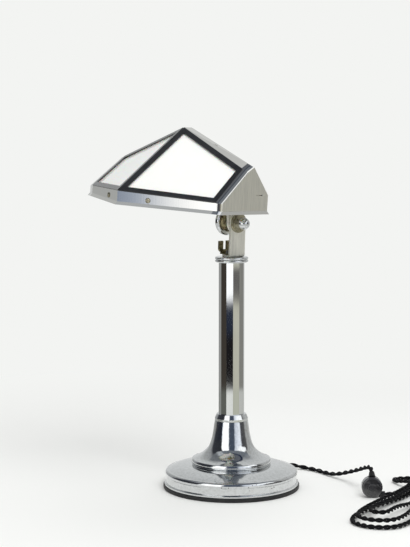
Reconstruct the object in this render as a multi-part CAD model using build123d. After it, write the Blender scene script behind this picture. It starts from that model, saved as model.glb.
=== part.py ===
from build123d import *
import os
from math import acos, cos, degrees, hypot, pi, radians, sin, tan

# Table lamp: spun chromed foot, twelve-sided stem, tilting hood with two opal panes.
# Millimetres, +Z up, origin at the centre of the foot's underside, the hood's prow towards -Y.

# Fits and allowances
overrun = 2.0
run_fit = 0.05
swivel_gap = 0.2
seat_gap = 0.3
drop_gap = 0.6

# Foot
foot_r = 80.0
foot_ring_h = 5.2
foot_ring_wall = 9.0
foot_edge_fillet = 1.2
felt_h = 1.2
sheet = 1.2
lip_in = 1.0
lip_h = 2.8
band_in = 3.0
roll_r = 4.0
roll_bulge = 0.9
dish_h = 22.0
step_r = 45.8
step_z = 28.6
dome_rise = 1.3
bead_h = 6.4
bead_bulge = 1.2
neck_r = 19.4
neck_z = 80.0
trumpet_shares = [(0.064, 0.733), (0.198, 0.422), (0.304, 0.275), (0.464, 0.167), (0.731, 0.070)]
ballast_h = 15.0
ballast_crown_h = 6.0
ballast_crown_r = 42.0
recess_r = 14.5
recess_h = 7.8
washer_t = 1.2
washer_r = 13.0
base_nut_flats = 15.0
base_nut_h = 4.8

# Stem
neck_ring_h = 8.0
neck_ring_groove = 0.5
neck_chamfer_h = 5.0
neck_chamfer_w = 2.3
stem_sides = 12
stem_r = 15.0
stem_wall = 1.2
stem_socket = 6.0
stem_top_z = 266.5
stem_turn = -93.0
collar_r = 19.3
bead_d = 3.2
collar_spigot_h = 8.0
rod_r = 4.5
rod_bore_r = 2.8
top_nut_flats = 12.0
top_nut_h = 3.4
rod_stand = 0.8

# Yoke, measured along the bolt from the stem's axis
pivot_z = 313.3
cant = 2.5
bolt_r = 3.0
bolt_head_r = 5.5
bolt_head_h = 2.0
disc_r = 16.4
disc_t = 6.6
disc_fillet = 2.2
disc_left = -11.6
hub_r = 12.0
hub_waist = 1.6
arm_t = 3.6
strap_t = 3.0
strap_w = 22.0
yoke_foot_t = 2.0
strap_bend = 2.4
washer_a_r = 11.5
washer_b_r = 9.0
pivot_washer_t = 1.0
ball_r = 7.0
ball_neck_r = 4.6
ball_neck_h = 2.0
ball_out = 7.5
fork_t = 3.0
fork_left = -13.5
fork_w = 16.7
fork_top = 23.3
fork_body_h = 13.0
fork_corner = 4.0
fork_slot_w = 5.6
fork_slot_h = 10.0
fork_neck_w = 10.0
fork_foot_t = 1.2
fork_foot_r = 6.9

# Hood, in its own frame: rim plane at zero, prow towards -Y
hood_tilt = 2.5
pivot_back = 117.0
pivot_drop = 23.0
prow_reach = 49.0
corner_half_w = 121.0
cheek_half_w = 110.0
cheek_back = 73.0
rear_half_w = 28.0
rear_back = 133.0
prow_h = 11.5
corner_h = 8.0
cheek_h = 17.0
rear_h = 14.0
ridge_h = 83.8
ridge_y = 38.7
ridge_back_y = 49.6
brow_half_w = 115.0
brow_y = 38.0
brow_h = 41.5
brow_back_half_w = 113.5
brow_back_y = 48.0
brow_back_h = 47.0
core_y = 45.0
core_z = 25.0
hood_sheet = 1.0
rim_h = 3.5
rim_flare = 2.3
land_w = 2.6
edge_border = 0.8
cheek_border = 8.5
glazing_w = 6.0
glazing_t = 0.8
glass_t = 3.0
glass_lap = 1.4
glass_gap = 0.1
clip_w = 10.0
clip_t = 0.8
clip_reach = 9.0
clip_low = 2.2
clip_share = 0.3
clip_slot_w = 5.0
clip_slot_share = 0.45
screw_r = 2.9
screw_h = 1.3
screw_shank_r = 1.5
screw_shank_h = 3.2
cheek_slot_l = 10.5
cheek_slot_w = 1.2
cheek_slot_z = 17.0
cheek_slot_in = 9.0

# Arm and lampholder inside the hood
eye_r = 12.0
arm_root_w = 23.2
flange_t = 2.5
flange_from = 12.0
flange_to = 45.0
flange_half_w = 14.0
tab_half_w = 13.0
tab_half_h = 12.0
holder_back = 102.0
holder_up = 18.0
holder_rise = 12.0
nipple_r = 5.0
nipple_bore_r = 3.0
nipple_back = 8.0
nipple_in = 5.0
nipple_nut_flats = 13.0
nipple_nut_h = 3.0
holder_r = 17.0
holder_cap_h = 14.0
holder_cap_r = 9.5
holder_h = 42.0
holder_wall = 1.2
holder_bead = 1.0
insulator_h = 11.0
contact_r = 3.0
contact_h = 2.4
cap_r = 13.2
cap_h = 25.0
cap_wall = 0.8
bulb_r = 22.5
bulb_wall = 1.0
bulb_neck_r = 12.0
bulb_centre = 73.5

# Flex
flex_r = 2.6
exit_angle = 110.0
exit_z = 10.7
exit_run = 16.4
bush_r = 4.2
bush_flange_r = 5.2
bush_flange_t = 1.4
bush_in = 4.0
hank_x = 165.7
hank_out = 70.8
hank_angle = 115.0
hank_step = 6.2
hank_lift = 5.9
waist_half_w = 9.0
near_half_w = 25.0
near_u = -144.0
far_half_w = 13.5
far_u = 25.0
fold_r = 11.0
fold_u = -125.0
fold_mid = 7.0
climb_from = -40.0
drawn_from = -45.0
hank_start = -12.0
floor_gap = 0.3
plug_l = 34.0
plug_w = 35.0
plug_t = 13.6
plug_nose_w = 24.0
plug_fillet = 3.0
plug_tail_w = 11.0
plug_tail_l = 10.0
pin_r = 2.0
pin_l = 19.0
pin_pitch = 18.6
pin_root = 3.0
plug_x = 156.6
plug_out = 132.8
plug_angle = 25.0

# Switch on the flex
switch_x = 140.6
switch_out = 12.8
switch_angle = 50.0
switch_r = 12.0
switch_t = 13.0
switch_joint = 0.2
switch_fillet = 2.0
switch_face_r = 8.8
switch_face_sink = 0.8
button_r = 5.0
button_h = 5.6
button_stand = 2.6
button_travel = 1.5
sleeve_h = 5.5
sleeve_lean = 50.0
sleeve_run = 8.5
sleeve_r = 4.2
sleeve_tip_r = 3.0
outlet_out = 8.0
outlet_l = 7.0
outlet_r = 3.3

# Points of the flex, in y from the foot's rear edge; the tail's are in the hank's own frame
lead_points = [(-31.0, 33.0, 6.0), (-12.0, 46.5, 2.9), (9.0, 49.5, 2.9), (34.0, 46.5, 2.9), (53.0, 44.0, 7.5),
               (70.0, 42.0, 14.0), (92.0, 36.5, 23.0), (108.0, 30.5, 30.0), (121.0, 24.5, 33.5)]
link_points = [(155.4, 30.4, 3.5), (156.2, 39.0, 2.9)]
tail_points = [(8.0, 15.5, 8.8), (17.0, 26.0, 8.8), (27.0, 41.0, 4.5), (39.0, 50.0, 2.9), (51.0, 43.0, 2.9),
               (57.0, 20.0, 3.5)]

lip_r = foot_r - lip_in
band_r = foot_r - band_in
hank_y = foot_r + hank_out
plug_y = foot_r + plug_out
switch_y = foot_r + switch_out
hank_low = flex_r + floor_gap
hank_high = hank_low + hank_lift
head = Location((0, 0, pivot_z), (0, cant, 0))
hood_place = head * Location((0, 0, 0), (-hood_tilt, 0, 0)) * Location((0, -pivot_back, pivot_drop))
disc_right = disc_left + disc_t
arm_left = swivel_gap - disc_right
collar_top_z = stem_top_z + 2 * bead_d
yoke_foot_z = collar_top_z + swivel_gap
fork_foot_z = yoke_foot_z + yoke_foot_t
top_nut_z = fork_foot_z + fork_foot_t + swivel_gap
rod_top_z = top_nut_z + top_nut_h + rod_stand
strap_left = arm_left + arm_t + swivel_gap
strap_right = strap_left + strap_t


def ring(r, bore, height, z):
    """Flat ring round +Z from z up."""
    body = Cylinder(r, height, align=(Align.CENTER, Align.CENTER, Align.MIN))
    hole = Cylinder(bore, height + 2 * overrun, align=(Align.CENTER, Align.CENTER, Align.MIN))
    return Pos(0, 0, z) * (body - Pos(0, 0, -overrun) * hole)


def along_bolt(part, start):
    """Stand a part made round +Z on the bolt, from start towards +X."""
    return head * Location((start, 0, 0), (0, 90, 0)) * part


def hex_nut(flats, bore, height):
    """Hexagon nut with chamfered corners, from zero up."""
    nut = extrude(RegularPolygon(flats / 2, 6, major_radius=False), amount=height)
    dome = extrude(Circle(flats / 2), amount=height, taper=-45)
    crown = Cylinder(flats / 2, height, align=(Align.CENTER, Align.CENTER, Align.MIN))
    nut = nut & (dome + crown + extrude(RegularPolygon(flats / 2, 6, major_radius=False), amount=height * 0.8))
    return nut - Pos(0, 0, -overrun) * Cylinder(bore, height + 2 * overrun, align=(Align.CENTER, Align.CENTER, Align.MIN))


def spin(*outline):
    """Solid of revolution from outline edges drawn in radius and height."""
    return revolve(Plane.XZ * make_face(Curve() + list(outline)), axis=Axis.Z)


# Foot

def dish_solid(inset):
    """Outer form of the spun foot, drawn in by inset in radius and height."""
    roll_x, roll_z = band_r + roll_bulge - roll_r - inset, dish_h - roll_r - inset
    start = -degrees(acos((roll_r - roll_bulge) / roll_r))
    band_top = (band_r - inset, roll_z + roll_r * sin(radians(start)))
    base = foot_ring_h if inset == 0 else foot_ring_h - overrun
    step_low = (step_r - inset, step_z - inset)
    bead_top = (step_r - inset, step_z + bead_h - inset)
    mid = ((roll_x + step_r - inset) / 2, (dish_h + step_z) / 2 + dome_rise - inset)
    bead_mid = (step_r + bead_bulge - inset, step_z + bead_h / 2 - inset)
    rise = neck_z - step_z - bead_h
    horn = [(neck_r + (step_r - neck_r) * across - inset, step_z + bead_h + rise * up - inset)
            for up, across in trumpet_shares]
    neck = (neck_r - inset, neck_z - inset)
    lower = Polyline((0, base), (lip_r - inset, base), (lip_r - inset, foot_ring_h + lip_h / 2),
                     (band_r - inset, foot_ring_h + lip_h), band_top)
    roll = CenterArc((roll_x, roll_z), roll_r, start, 90 - start)
    dome = ThreePointArc((roll_x, dish_h - inset), mid, step_low)
    bead = ThreePointArc(step_low, bead_mid, bead_top)
    trumpet = Spline(bead_top, *horn, neck)
    close = Polyline(neck, (0, neck_z - inset), (0, base))
    return spin(lower, roll, dome, bead, trumpet, close)


def base_shell():
    """Spun sheet foot with a holed top and the flex's hole at the rear."""
    shell = dish_solid(0) - dish_solid(sheet)
    shell -= Cylinder(rod_r + run_fit, 2 * neck_z + overrun)
    return shell - bush_hole(bush_r)


def bush_hole(radius):
    """Radial cylinder through the foot's side where the flex leaves."""
    hole = Cylinder(radius, band_r - ballast_r() + 2 * overrun, align=(Align.CENTER, Align.CENTER, Align.MIN))
    return exit_frame() * Pos(0, 0, ballast_r() - overrun) * hole


def exit_frame():
    """Frame at the stem's axis with +Z out along the flex's exit."""
    way = (cos(radians(exit_angle)), sin(radians(exit_angle)), 0)
    return Plane(origin=(0, 0, exit_z), z_dir=way).location


def ballast_r():
    return foot_r - foot_ring_wall - drop_gap


def foot_ring():
    section = Rectangle(foot_ring_wall, foot_ring_h, align=(Align.MAX, Align.MIN))
    section = fillet(section.vertices(), foot_edge_fillet)
    return revolve(Plane.XZ * Pos(foot_r, 0) * section, axis=Axis.Z)


def felt_pad():
    return Cylinder(ballast_r(), felt_h, align=(Align.CENTER, Align.CENTER, Align.MIN))


def ballast():
    """Cast iron weight with a sunk seat for the nut and a slot for the flex."""
    top = felt_h + ballast_h
    section = Polygon((rod_r + run_fit, felt_h), (ballast_r(), felt_h), (ballast_r(), top),
                      (ballast_crown_r, top + ballast_crown_h), (rod_r + run_fit, top + ballast_crown_h), align=None)
    body = revolve(Plane.XZ * section, axis=Axis.Z)
    body -= Pos(0, 0, felt_h - overrun) * Cylinder(
        recess_r, recess_h + overrun, align=(Align.CENTER, Align.CENTER, Align.MIN))
    slot = Box(2 * bush_flange_r, 2 * bush_flange_r + overrun, foot_r, align=(Align.CENTER, Align.CENTER, Align.MIN))
    return body - exit_frame() * Pos(0, 0, ballast_crown_r / 2) * slot


def base_washer():
    return ring(washer_r, rod_r + run_fit, washer_t, felt_h + recess_h - washer_t)


def base_nut():
    return Pos(0, 0, felt_h + recess_h - washer_t - base_nut_h) * hex_nut(base_nut_flats, rod_r + run_fit, base_nut_h)


def cord_bush():
    """Flanged bush in the foot's side."""
    reach = band_r - bush_in
    neck = bush_in + lip_r - band_r
    body = Cylinder(bush_r - run_fit, neck, align=(Align.CENTER, Align.CENTER, Align.MIN))
    body += Pos(0, 0, neck) * Cylinder(bush_flange_r, bush_flange_t, align=(Align.CENTER, Align.CENTER, Align.MIN))
    bore = Cylinder(flex_r, 2 * reach, align=(Align.CENTER, Align.CENTER, Align.CENTER))
    return exit_frame() * Pos(0, 0, reach) * (body - bore)


# Stem

def neck_ring():
    """Turned ring round the stem's foot, with a socket for it."""
    low, high = neck_z + neck_ring_groove, neck_z + neck_ring_h
    inner = rod_r + run_fit
    section = Polygon((inner, neck_z), (neck_r - 2 * neck_ring_groove, neck_z), (neck_r - 2 * neck_ring_groove, low),
                      (neck_r, low), (neck_r, high - neck_chamfer_h), (neck_r - neck_chamfer_w, high),
                      (inner, high), align=None)
    body = revolve(Plane.XZ * section, axis=Axis.Z)
    return body - Pos(0, 0, high - stem_socket) * stem_prism(stem_r + run_fit, stem_socket + overrun)


def stem_prism(radius, height):
    return extrude(RegularPolygon(radius, stem_sides, rotation=stem_turn), amount=height)


def stem_tube():
    low = neck_z + neck_ring_h - stem_socket
    tube = stem_prism(stem_r, stem_top_z - low)
    return Pos(0, 0, low) * (tube - Pos(0, 0, -overrun) * stem_prism(stem_r - stem_wall, stem_top_z + overrun))


def stem_collar():
    """Two turned beads over a spigot that plugs the stem."""
    bead_r = bead_d / 2
    spigot = (stem_r - stem_wall) * cos(pi / stem_sides) - seat_gap
    inner = rod_r + run_fit
    side, low = collar_r - bead_r, stem_top_z - collar_spigot_h
    stops = [stem_top_z, stem_top_z + bead_d, stem_top_z + 2 * bead_d]
    edges = [Polyline((side, stops[2]), (inner, stops[2]), (inner, low), (spigot, low), (spigot, stops[0]),
                      (side, stops[0]))]
    for z0, z1 in zip(stops, stops[1:]):
        edges.append(ThreePointArc((side, z0), (collar_r, (z0 + z1) / 2), (side, z1)))
    return spin(*edges)


def tie_rod():
    low = felt_h + recess_h - washer_t - base_nut_h - rod_stand
    return ring(rod_r, rod_bore_r, rod_top_z - low, low)


def top_nut():
    return Pos(0, 0, top_nut_z) * hex_nut(top_nut_flats, rod_r + run_fit, top_nut_h)


# Yoke

def trim_below(part, z):
    """Cut away what lies below a level."""
    return part - Pos(0, 0, z) * Box(2 * foot_r, 2 * foot_r, foot_r, align=(Align.CENTER, Align.CENTER, Align.MAX))


def yoke_strap():
    """Bent flat strap: round eye at the bolt, leaning leg and level foot."""
    drop = pivot_z - yoke_foot_z
    lean = sin(radians(cant))
    leg = Rectangle(drop + overrun, strap_w, align=(Align.MIN, Align.CENTER)) + Circle(strap_w / 2)
    leg = along_bolt(extrude(leg, amount=strap_t), strap_left)
    outer = strap_right * cos(radians(cant)) - drop * lean
    plan = Rectangle(outer, strap_w, align=(Align.MIN, Align.CENTER)) + Circle(strap_w / 2)
    foot = Pos(0, 0, yoke_foot_z) * extrude(plan, amount=yoke_foot_t)
    strap = trim_below(leg + foot, yoke_foot_z)
    heel = strap.edges().filter_by(Axis.Y).sort_by(Axis.Z)[:2].sort_by(Axis.X)[-1]
    strap = fillet(heel, strap_bend)
    strap -= along_bolt(Cylinder(bolt_r + run_fit, foot_r), 0)
    return strap - Pos(0, 0, yoke_foot_z) * Cylinder(rod_r + run_fit, 2 * foot_r)


def flex_fork():
    """Forked tab with a narrow neck and a round foot clamped on the rod."""
    drop = pivot_z - fork_foot_z
    body = Pos(fork_top, 0) * Rectangle(fork_body_h, fork_w, align=(Align.MIN, Align.CENTER))
    body = fillet(body.vertices().sort_by(Axis.X)[-2:], fork_corner)
    body += Pos(fork_top, 0) * Rectangle(drop - fork_top + overrun, fork_neck_w, align=(Align.MIN, Align.CENTER))
    body -= Pos(fork_top - overrun, 0) * Rectangle(
        fork_slot_h + overrun, fork_slot_w, align=(Align.MIN, Align.CENTER))
    upright = along_bolt(extrude(body, amount=fork_t), fork_left)
    reach = -fork_left * cos(radians(cant)) + drop * sin(radians(cant))
    plan = Rectangle(reach, fork_neck_w, align=(Align.MAX, Align.CENTER)) + Circle(fork_foot_r)
    foot = Pos(0, 0, fork_foot_z) * extrude(plan, amount=fork_foot_t)
    fork = trim_below(upright + foot, fork_foot_z)
    return fork - Pos(0, 0, fork_foot_z) * Cylinder(rod_r + run_fit, 2 * fork_foot_t + overrun)


def friction_disc():
    disc = Cylinder(disc_r, disc_t, align=(Align.CENTER, Align.CENTER, Align.MIN))
    disc = fillet(disc.edges().filter_by(GeomType.CIRCLE), disc_fillet)
    return along_bolt(disc - Cylinder(bolt_r + run_fit, foot_r), disc_left)


def hub_spacer():
    """Waisted hub between the disc and the hood's arm."""
    length = arm_left - swivel_gap - disc_right
    line = [Line((bolt_r + run_fit, 0), (hub_r, 0)),
            ThreePointArc((hub_r, 0), (hub_r - hub_waist, length / 2), (hub_r, length)),
            Line((hub_r, length), (bolt_r + run_fit, length)),
            Line((bolt_r + run_fit, length), (bolt_r + run_fit, 0))]
    return along_bolt(spin(*line), disc_right)


def pivot_bolt():
    """Bolt with a low domed head at the disc and a plain end in the ball nut."""
    length = strap_right + 2 * pivot_washer_t + ball_neck_h + ball_r - disc_left
    head_blank = Cylinder(bolt_head_r, bolt_head_h, align=(Align.CENTER, Align.CENTER, Align.MAX))
    head_blank = fillet(head_blank.edges().sort_by(Axis.Z)[0], bolt_head_h / 2)
    shank = Cylinder(bolt_r, length, align=(Align.CENTER, Align.CENTER, Align.MIN))
    return along_bolt(head_blank + shank, disc_left)


def pivot_washer(r, start):
    return along_bolt(ring(r, bolt_r + run_fit, pivot_washer_t, 0), start)


def ball_nut():
    """Round thumb nut with a short neck."""
    neck = Cylinder(ball_neck_r, ball_out, align=(Align.CENTER, Align.CENTER, Align.MIN))
    ball = Pos(0, 0, ball_out) * Sphere(ball_r)
    bore = Cylinder(bolt_r + run_fit, 2 * (ball_neck_h + ball_r) + 2 * overrun)
    return along_bolt(neck + ball - bore, strap_right + 2 * pivot_washer_t + run_fit)


# Hood

def facet(p, q, r):
    """Plane through three corners, facing out of the hood."""
    p, q, r = Vector(p), Vector(q), Vector(r)
    normal = (q - p).cross(r - p).normalized()
    if normal.dot(Vector(0, core_y, core_z) - p) > 0:
        normal = -normal
    return Plane(origin=p, x_dir=q - p, z_dir=normal)


prow = (0, -prow_reach, prow_h)
corner = (corner_half_w, 0, corner_h)
ridge = (0, ridge_y, ridge_h)
ridge_back = (0, ridge_back_y, ridge_h)
brow = (brow_half_w, brow_y, brow_h)
brow_back = (brow_back_half_w, brow_back_y, brow_back_h)
cheek_top = (cheek_half_w, cheek_back, cheek_h)
rear_top = (rear_half_w, rear_back, rear_h)
pane_plane = facet(prow, corner, ridge)
strip_plane = facet(ridge, ridge_back, brow_back)
cheek_plane = facet((corner_half_w, 0, 0), (cheek_half_w, cheek_back, 0), brow)
rear_plane = facet(ridge_back, (-rear_half_w, rear_back, rear_h), rear_top)


def hood_plan(grow):
    """Outline of the rim, grown or drawn in evenly."""
    half = [(0, -prow_reach), (corner_half_w, 0), (cheek_half_w, cheek_back), (rear_half_w, rear_back)]
    outline = Polygon(*half, *[(-x, y) for x, y in half[:0:-1]], align=None)
    return offset(outline, amount=grow, kind=Kind.INTERSECTION) if grow else outline


def hood_solid(inset):
    """Faceted hood cut from an upright prism by the planes of its facets."""
    low = 0 if inset == 0 else -overrun
    body = Pos(0, 0, low) * extrude(hood_plan(-inset), amount=ridge_h + overrun - low)
    sides = [pane_plane, strip_plane, facet(ridge, brow_back, brow), cheek_plane,
             facet(ridge_back, brow_back, rear_top), facet(brow_back, cheek_top, rear_top)]
    for plane in sides:
        body = split(body, bisect_by=plane.offset(-inset), keep=Keep.BOTTOM)
        body = split(body, bisect_by=mirrored(plane).offset(-inset), keep=Keep.BOTTOM)
    return split(body, bisect_by=rear_plane.offset(-inset), keep=Keep.BOTTOM)


def mirrored(plane):
    """The same plane on the hood's other side."""
    flip = lambda v: Vector(-v.X, v.Y, v.Z)
    return Plane(origin=flip(plane.origin), x_dir=flip(plane.x_dir), z_dir=flip(plane.z_dir))


def local_outline(points, plane, borders):
    """Corner loop of a facet in its plane, each side drawn in by its own border."""
    flat = [plane.to_local_coords(Vector(p)) for p in points]
    middle = sum(flat, Vector()) * (1 / len(flat))
    sides = []
    for a, b, border in zip(flat, flat[1:] + flat[:1], borders):
        way = (b - a).normalized()
        into = Vector(-way.Y, way.X, 0)
        into = into if into.dot(middle - a) > 0 else -into
        sides.append((a + into * border, way))
    corners = []
    for (a, u), (b, v) in zip(sides[-1:] + sides[:-1], sides):
        t = ((b.X - a.X) * v.Y - (b.Y - a.Y) * v.X) / (u.X * v.Y - u.Y * v.X)
        corners.append((a.X + u.X * t, a.Y + u.Y * t))
    return corners


def pane_outline(grow):
    """Pane outline, measured inwards from the glazing frame's outer edge."""
    borders = [edge_border + grow, cheek_border + grow, edge_border + grow, edge_border + grow]
    return Polygon(*local_outline([prow, corner, brow, ridge], pane_plane, borders), align=None)


def pane_slab(outline, top, thickness):
    """Slab of a pane outline, from top along the facet's normal and inwards."""
    return pane_plane.offset(top) * extrude(outline, amount=-thickness)


def glazing_frame():
    outline = pane_outline(0) - pane_outline(glazing_w)
    return pane_slab(outline, glazing_t, glazing_t)


def opal_pane():
    return pane_slab(pane_outline(land_w - glass_lap), -hood_sheet - glass_gap, glass_t)


def rim_lip():
    """Flared band along the hood's lower edge."""
    def flare(inset, extra):
        spread = rim_flare / rim_h * extra
        top = Pos(0, 0, extra) * hood_plan(-inset - spread)
        low = Pos(0, 0, -rim_h - extra) * hood_plan(rim_flare + spread - inset)
        return loft([top, low], ruled=True)
    outer = flare(0, 0)
    return outer - flare(hood_sheet, overrun)


def clip_seat():
    """Where the clip meets the near fascia: spot, directions, and local height of its corner."""
    run = Vector(corner) - Vector(prow)
    along = Vector(run.X, run.Y, 0).normalized()
    inward = Vector(-along.Y, along.X, 0)
    depth = hood_sheet + 2 * glass_gap + glass_t
    spot = Vector(prow) + run * clip_share
    local_y = (hood_sheet + pane_plane.z_dir.dot(inward) * depth) / pane_plane.y_dir.dot(inward)
    heel = pane_plane.from_local_coords(Vector(run.length * clip_share, local_y, -depth))
    return spot, along, inward, depth, heel.Z, Location((run.length * clip_share, local_y, -depth))


def clip_wall_frame():
    """Frame on the near fascia's outer face at the clip: X along, Y inwards, +Z up."""
    spot, along, inward, depth, top, place = clip_seat()
    return Plane(origin=(spot.X, spot.Y, 0), x_dir=along, z_dir=(0, 0, 1)).location, top


def clip_hole(r):
    """Cylinder through the fascia and the clip on the screw's axis."""
    frame, top = clip_wall_frame()
    pin = Cylinder(r, 2 * screw_shank_h + 2 * overrun)
    return frame * Location((0, 0, (clip_low + top) / 2), (-90, 0, 0)) * pin


def fascia_clip():
    """Sprung clip under the pane's lower edge, screwed to the fascia."""
    frame, top = clip_wall_frame()
    place = clip_seat()[-1]
    finger = pane_plane.location * place * Box(
        clip_w, clip_reach, clip_t, align=(Align.CENTER, Align.MIN, Align.MAX))
    foot = Pos(0, hood_sheet, clip_low) * Box(
        clip_w, clip_t, top - clip_low - clip_t / 4, align=(Align.CENTER, Align.MIN, Align.MIN))
    return finger + frame * foot - clip_hole(screw_shank_r + run_fit)


def fascia_screw():
    """Domed slotted screw from outside the fascia into the clip."""
    frame, top = clip_wall_frame()
    dome = Cylinder(screw_r, screw_h, align=(Align.CENTER, Align.CENTER, Align.MAX))
    dome = fillet(dome.edges().sort_by(Axis.Z)[0], screw_h * 0.7)
    slot = Pos(0, 0, -screw_h) * Box(2 * screw_r, screw_h / 2, screw_h)
    shank = Cylinder(screw_shank_r, screw_shank_h, align=(Align.CENTER, Align.CENTER, Align.MIN))
    return frame * Location((0, 0, (clip_low + top) / 2), (-90, 0, 0)) * (dome - slot + shank)


def both_sides(part):
    """The same piece on both sides of the hood."""
    return Compound(children=[*part.solids(), *mirror(part, about=Plane.YZ).solids()])


def hood_shell():
    """Folded sheet hood: facets, rim lip, pane openings, slots and screw holes."""
    shell = hood_solid(0) - hood_solid(hood_sheet) + rim_lip()
    window = pane_slab(pane_outline(land_w), overrun, 2 * overrun + hood_sheet)
    holes = clip_hole(screw_shank_r + run_fit)
    shell -= window
    shell -= mirror(window, about=Plane.YZ)
    shell -= holes
    shell -= mirror(holes, about=Plane.YZ)
    for cut in (strip_slot(), cheek_slot()):
        shell -= cut
        shell -= mirror(cut, about=Plane.YZ)
    for hole in arm_screw_spots():
        shell -= hole * Cylinder(screw_shank_r + run_fit, 2 * flange_t + 2 * overrun)
    return shell


def strip_slot():
    """Narrow slot across the ridge strip."""
    start = Vector(ridge) + (Vector(brow) - Vector(ridge)) * clip_slot_share
    end = Vector(ridge_back) + (Vector(brow_back) - Vector(ridge_back)) * clip_slot_share
    flat = Plane(origin=(start + end) * 0.5, x_dir=end - start, z_dir=strip_plane.z_dir)
    return flat.location * Box(cheek_slot_w, clip_slot_w, 2 * overrun + hood_sheet)


def cheek_slot():
    """Short level slit near the cheek's rear edge."""
    foot = Vector(cheek_half_w, cheek_back, cheek_slot_z)
    way = Vector(corner_half_w - cheek_half_w, -cheek_back, 0).normalized()
    spot = foot + way * (cheek_slot_in + cheek_slot_l / 2)
    flat = Plane(origin=spot, x_dir=way, z_dir=cheek_plane.z_dir)
    return flat.location * Box(cheek_slot_l, cheek_slot_w, 4 * overrun)


# Arm and lampholder

def rear_point(along, depth):
    """Point in the hood's middle plane, along the rear facet from its foot and depth inside it."""
    way = (Vector(ridge_back) - Vector(0, rear_back, rear_h)).normalized()
    return Vector(0, rear_back, rear_h) + way * along - rear_plane.z_dir * depth


def rear_frame(along, depth):
    """Frame on the rear facet: X across, Y up the facet, Z outwards."""
    return Plane(origin=rear_point(along, depth), x_dir=(-1, 0, 0), z_dir=rear_plane.z_dir).location


def arm_screw_spots():
    inset = (flange_to - flange_from) / 5
    spots = [(-flange_half_w / 2, flange_from + inset), (-flange_half_w / 2, flange_to - inset)]
    return [rear_frame(along, hood_sheet) * Pos(-x, 0, 0) for x, along in spots]


def holder_frame():
    """Frame on the arm's tab with Z along the lampholder, forwards and up."""
    rise = radians(holder_rise)
    return Plane(origin=(0, holder_back, holder_up), x_dir=(1, 0, 0), z_dir=(0, -cos(rise), sin(rise))).location


def hood_arm():
    """Bent plate: eye at the bolt, flange on the rear facet, tab for the lampholder."""
    eye = (pivot_back, -pivot_drop)
    low, high = rear_point(flange_from, hood_sheet + flange_t), rear_point(flange_to, hood_sheet + flange_t)
    blade = Polygon((low.Y, low.Z), (high.Y, high.Z), (pivot_back - arm_root_w / 2, -pivot_drop),
                    (pivot_back + arm_root_w / 2, -pivot_drop), align=None)
    plate = blade + Pos(*eye) * Circle(eye_r)
    plate = Plane(origin=(arm_left, 0, 0), x_dir=(0, 1, 0), z_dir=(1, 0, 0)) * extrude(plate, amount=arm_t)
    plate -= holder_frame() * Cylinder(
        holder_r + 2 * holder_bead, holder_h, align=(Align.CENTER, Align.CENTER, Align.MIN))
    plate -= holder_frame() * Pos(0, 0, -flange_t) * Cylinder(
        nipple_nut_flats / 2 + nipple_bore_r / 2, nipple_back, align=(Align.CENTER, Align.CENTER, Align.MAX))
    width = flange_half_w + arm_left + arm_t
    flange = Pos(flange_half_w, 0, 0) * Box(
        width, flange_to - flange_from, flange_t, align=(Align.MAX, Align.CENTER, Align.MAX))
    flange = rear_frame((flange_from + flange_to) / 2, hood_sheet) * flange
    tab = Pos(-tab_half_w, 0, 0) * Box(
        tab_half_w + arm_left + arm_t, 2 * tab_half_h, flange_t, align=(Align.MIN, Align.CENTER, Align.MAX))
    arm = plate + flange + holder_frame() * tab
    arm -= holder_frame() * Cylinder(nipple_r + run_fit, 4 * flange_t)
    arm -= Pos(0, pivot_back, -pivot_drop) * Rot(0, 90, 0) * Cylinder(bolt_r + run_fit, foot_r)
    for spot in arm_screw_spots():
        arm -= spot * Cylinder(screw_shank_r + run_fit, 4 * flange_t)
    return arm


def arm_screws():
    """Two domed screws through the rear facet into the arm's flange."""
    dome = Cylinder(screw_r, screw_h, align=(Align.CENTER, Align.CENTER, Align.MIN))
    dome = fillet(dome.edges().sort_by(Axis.Z)[-1], screw_h * 0.7)
    slot = Pos(0, 0, screw_h) * Box(2 * screw_r, screw_h / 2, screw_h)
    shank = Cylinder(screw_shank_r, hood_sheet + flange_t, align=(Align.CENTER, Align.CENTER, Align.MAX))
    screw = dome - slot + shank
    lift = Pos(0, 0, hood_sheet)
    return Compound(children=[s for spot in arm_screw_spots() for s in (spot * lift * screw).solids()])


def nipple():
    return holder_frame() * ring(nipple_r, nipple_bore_r, nipple_back + nipple_in, -nipple_back)


def nipple_nut():
    return holder_frame() * Pos(0, 0, -flange_t - nipple_nut_h) * hex_nut(
        nipple_nut_flats, nipple_r + run_fit, nipple_nut_h)


def holder_shell():
    """Domed brass lampholder with a rolled bead and an open mouth."""
    inner = nipple_r + run_fit
    outer = [Line((inner, 0), (holder_cap_r, 0)),
             ThreePointArc((holder_cap_r, 0), (holder_cap_r + (holder_r - holder_cap_r) * 0.75, holder_cap_h * 0.4),
                           (holder_r, holder_cap_h)),
             Line((holder_r, holder_cap_h), (holder_r, holder_h)),
             Line((holder_r, holder_h), (holder_r - holder_wall, holder_h)),
             Line((holder_r - holder_wall, holder_h), (holder_r - holder_wall, holder_cap_h)),
             Line((holder_r - holder_wall, holder_cap_h), (inner, holder_wall)),
             Line((inner, holder_wall), (inner, 0))]
    body = spin(*outer)
    body += Pos(0, 0, holder_cap_h) * Torus(holder_r, holder_bead)
    return holder_frame() * body


def insulator():
    """Porcelain disc in the holder, seated on the dome's edge."""
    r = holder_r - holder_wall - run_fit
    return holder_frame() * ring(r, contact_r / 2, insulator_h - contact_h, holder_cap_h + run_fit)


def centre_contact():
    z = holder_cap_h + run_fit + insulator_h - contact_h
    return holder_frame() * Pos(0, 0, z) * Cylinder(
        contact_r, contact_h, align=(Align.CENTER, Align.CENTER, Align.MIN))


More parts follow.
